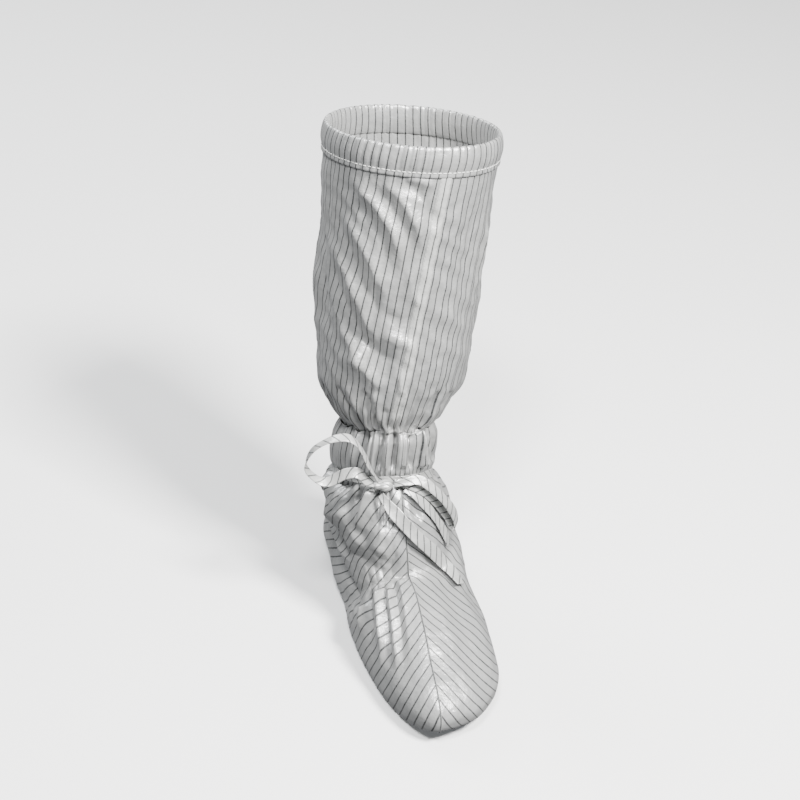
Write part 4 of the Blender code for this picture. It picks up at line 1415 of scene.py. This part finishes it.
def add_casing_stitches(material):
    """Row of stitches that closes the top casing, just above its lower edge."""
    turn = np.linspace(0.0, 2.0 * pi, 1200)
    level = np.full(turn.shape, CASING_LEVEL + 0.13)
    angle = turn + shaft_seam_angle(level)
    out = 0.0012 + 0.0010 * casing_puckers(turn)
    points = off_skin(angle, level, out)
    normals = outward(skin, angle, level)
    return add_stitches("casing_stitches", points, normals, CASING_STITCH, material)


def add_shaft_seam_stitches(grid, normals, material):
    """Two rows of stitches down the shaft's front seam, one beside each edge."""
    column = np.linalg.norm(grid[:, 1] - grid[:, 0], axis=1)
    pieces = []
    for name, share in (("shaft_seam_stitches_inner", -0.72), ("shaft_seam_stitches_outer", 0.72)):
        place = (0.5 * SHAFT_SEAM_WIDTH * share / column)[:, None]
        out = unit(beside_seam(normals, place))[:, 0]
        points = beside_seam(grid, place)[:, 0] + out * 0.0010
        pieces.append(add_stitches(name, points, out, SEAM_STITCH, material))
    return pieces


def add_elastic_stitches(grid, normals, material):
    """Row of stitches along the instep elastic, on the inner half of the foot."""
    columns = grid.shape[1] - 1
    points = []
    out = []
    for degrees in range(-84, 1):
        column = round(degrees / 360.0 * columns) % columns
        distance = instep_distance(grid[:, column])
        row = int(np.argmax((distance[:-1] > 0.0) & (distance[1:] <= 0.0)))
        part = distance[row] / (distance[row] - distance[row + 1])
        here = grid[row, column] * (1.0 - part) + grid[row + 1, column] * part
        points.append(here + normals[row, column] * 0.0001)
        out.append(normals[row, column])
    return add_stitches("instep_stitches", np.array(points), np.array(out), INSTEP_STITCH, material)


# Floor, light and camera

# Camera: its angles to the boot, the place that it looks at, its distance and its lens
CAMERA_AZIMUTH = radians(-15.5)
CAMERA_ELEVATION = radians(33.0)
CAMERA_ROLL = radians(4.8)
CAMERA_TARGET = (0.0, -0.060, 0.180)
CAMERA_DISTANCE = 1.55
CAMERA_LENS = 94.05
CAMERA_SENSOR = 36.0

# Soft lights that face the boot, with their size in metres and their power in watts
Light = namedtuple("Light", "name place size power colour")
LIGHTS = [
    Light("key", (0.66, -0.95, 1.62), 0.40, 138.0, (1.0, 0.99, 0.97)),
    Light("sheen", (-0.40, -0.85, 1.75), 0.34, 54.0, (1.0, 1.0, 1.0)),
    Light("rim", (-0.70, 1.10, 1.30), 0.80, 26.0, (0.95, 0.98, 1.0)),
]
LIGHT_TARGET = (0.0, -0.05, 0.18)
SKY_COLOUR = (0.96, 0.98, 1.0)
SKY_STRENGTH = 0.32

# Floor: its size, how far it lies below the sole, and its two tones
FLOOR_SIZE = 8.0
FLOOR_DROP = 0.0002
FLOOR_TONES = ((0.86, 0.86, 0.86), (0.84, 0.84, 0.84))


def add_camera():
    """Camera at the photograph's angle to the boot, rolled as it is there."""
    level_reach = cos(CAMERA_ELEVATION)
    offset = Vector((
        sin(CAMERA_AZIMUTH) * level_reach,
        -cos(CAMERA_AZIMUTH) * level_reach,
        sin(CAMERA_ELEVATION),
    ))
    right = Vector((cos(CAMERA_AZIMUTH), sin(CAMERA_AZIMUTH), 0.0))
    up = offset.cross(right)
    rolled_right = right * cos(CAMERA_ROLL) + up * sin(CAMERA_ROLL)
    rolled_up = up * cos(CAMERA_ROLL) - right * sin(CAMERA_ROLL)
    data = bpy.data.cameras.new("camera")
    data.lens = CAMERA_LENS
    data.sensor_width = CAMERA_SENSOR
    camera = bpy.data.objects.new("camera", data)
    bpy.context.scene.collection.objects.link(camera)
    turn = Matrix((rolled_right, rolled_up, offset)).transposed().to_4x4()
    camera.matrix_world = Matrix.Translation(Vector(CAMERA_TARGET) + offset * CAMERA_DISTANCE) @ turn
    bpy.context.scene.camera = camera


def add_light(row):
    """A large soft light that faces the boot."""
    data = bpy.data.lights.new(row.name, "AREA")
    data.size = row.size
    data.energy = row.power
    data.color = row.colour
    light = bpy.data.objects.new(row.name, data)
    light.location = row.place
    aim = Vector(LIGHT_TARGET) - Vector(row.place)
    light.rotation_euler = aim.to_track_quat("-Z", "Y").to_euler()
    bpy.context.scene.collection.objects.link(light)


def add_stage():
    """Plain pale floor and soft studio light."""
    bpy.ops.mesh.primitive_plane_add(size=FLOOR_SIZE, location=(0.0, 0.0, -FLOOR_DROP))
    floor = bpy.context.object
    floor.name = "floor"
    material, tree, shader = new_material("floor", FLOOR_TONES[0], 0.85)
    tone = mix_node(tree, noise_node(tree, 2.0, 2.0), *FLOOR_TONES)
    tree.links.new(tone, shader.inputs["Base Color"])
    floor.data.materials.append(material)
    floor.visible_diffuse = False
    floor.visible_glossy = False

    world = bpy.data.worlds.new("studio")
    bpy.context.scene.world = world
    world.use_nodes = True
    sky = world.node_tree.nodes["Background"]
    sky.inputs["Color"].default_value = (*SKY_COLOUR, 1.0)
    sky.inputs["Strength"].default_value = SKY_STRENGTH
    for row in LIGHTS:
        add_light(row)


def main():
    """Stage, bow, shaft, foot and sole, with what is sewn to each."""
    add_camera()
    add_stage()
    cloth = cloth_material("boot_cloth", CLOTH_TONE)
    tape = cloth_material("boot_tape", TAPE_TONE)
    # The seam's cloth is painted paler than the boot's cloth: painted light on its raised bands
    seam = cloth_material("boot_seam_painted_light", SEAM_PAINTED_LIGHT_TONE)
    thread = thread_material("boot_thread", THREAD_COLOUR)
    fine_thread = thread_material("boot_fine_thread", FINE_THREAD_COLOUR)

    knot = add_knot(tape)
    add_standing_loop("tie_loop_medial_tape", MEDIAL_LOOP, tape, "tie_loop_medial", 1)
    add_lying_tape("tie_loop_lateral_tape", LATERAL_LOOP, tape, "object", "tie_loop_lateral", 2,
                   TAPE_WIDTH, LATERAL_TURN)
    add_lying_tape("tie_tail_long_tape", LONG_TAIL, tape, "bare", "tie_tail_long", 3, LONG_TAIL_WIDTH)
    add_lying_tape("tie_tail_short_tape", SHORT_TAIL, tape, "bare", "tie_tail_short", 4)

    shaft, shaft_grid, shaft_normals = add_shaft(cloth)
    on_shaft = [add_top_casing(cloth), add_shaft_seam(shaft_grid, shaft_normals, seam)]
    on_shaft.append(add_casing_stitches(thread))
    on_shaft += add_shaft_seam_stitches(shaft_grid, shaft_normals, fine_thread)

    upper, upper_grid, upper_normals = add_upper(cloth)
    on_upper = [add_tie_band(tape), add_vamp_seam(upper_grid, upper_normals, cloth)]
    on_upper.append(add_elastic_stitches(upper_grid, upper_normals, fine_thread))
    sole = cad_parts["sole"]
    sole.data.materials.clear()
    sole.data.materials.append(sole_material())


main()
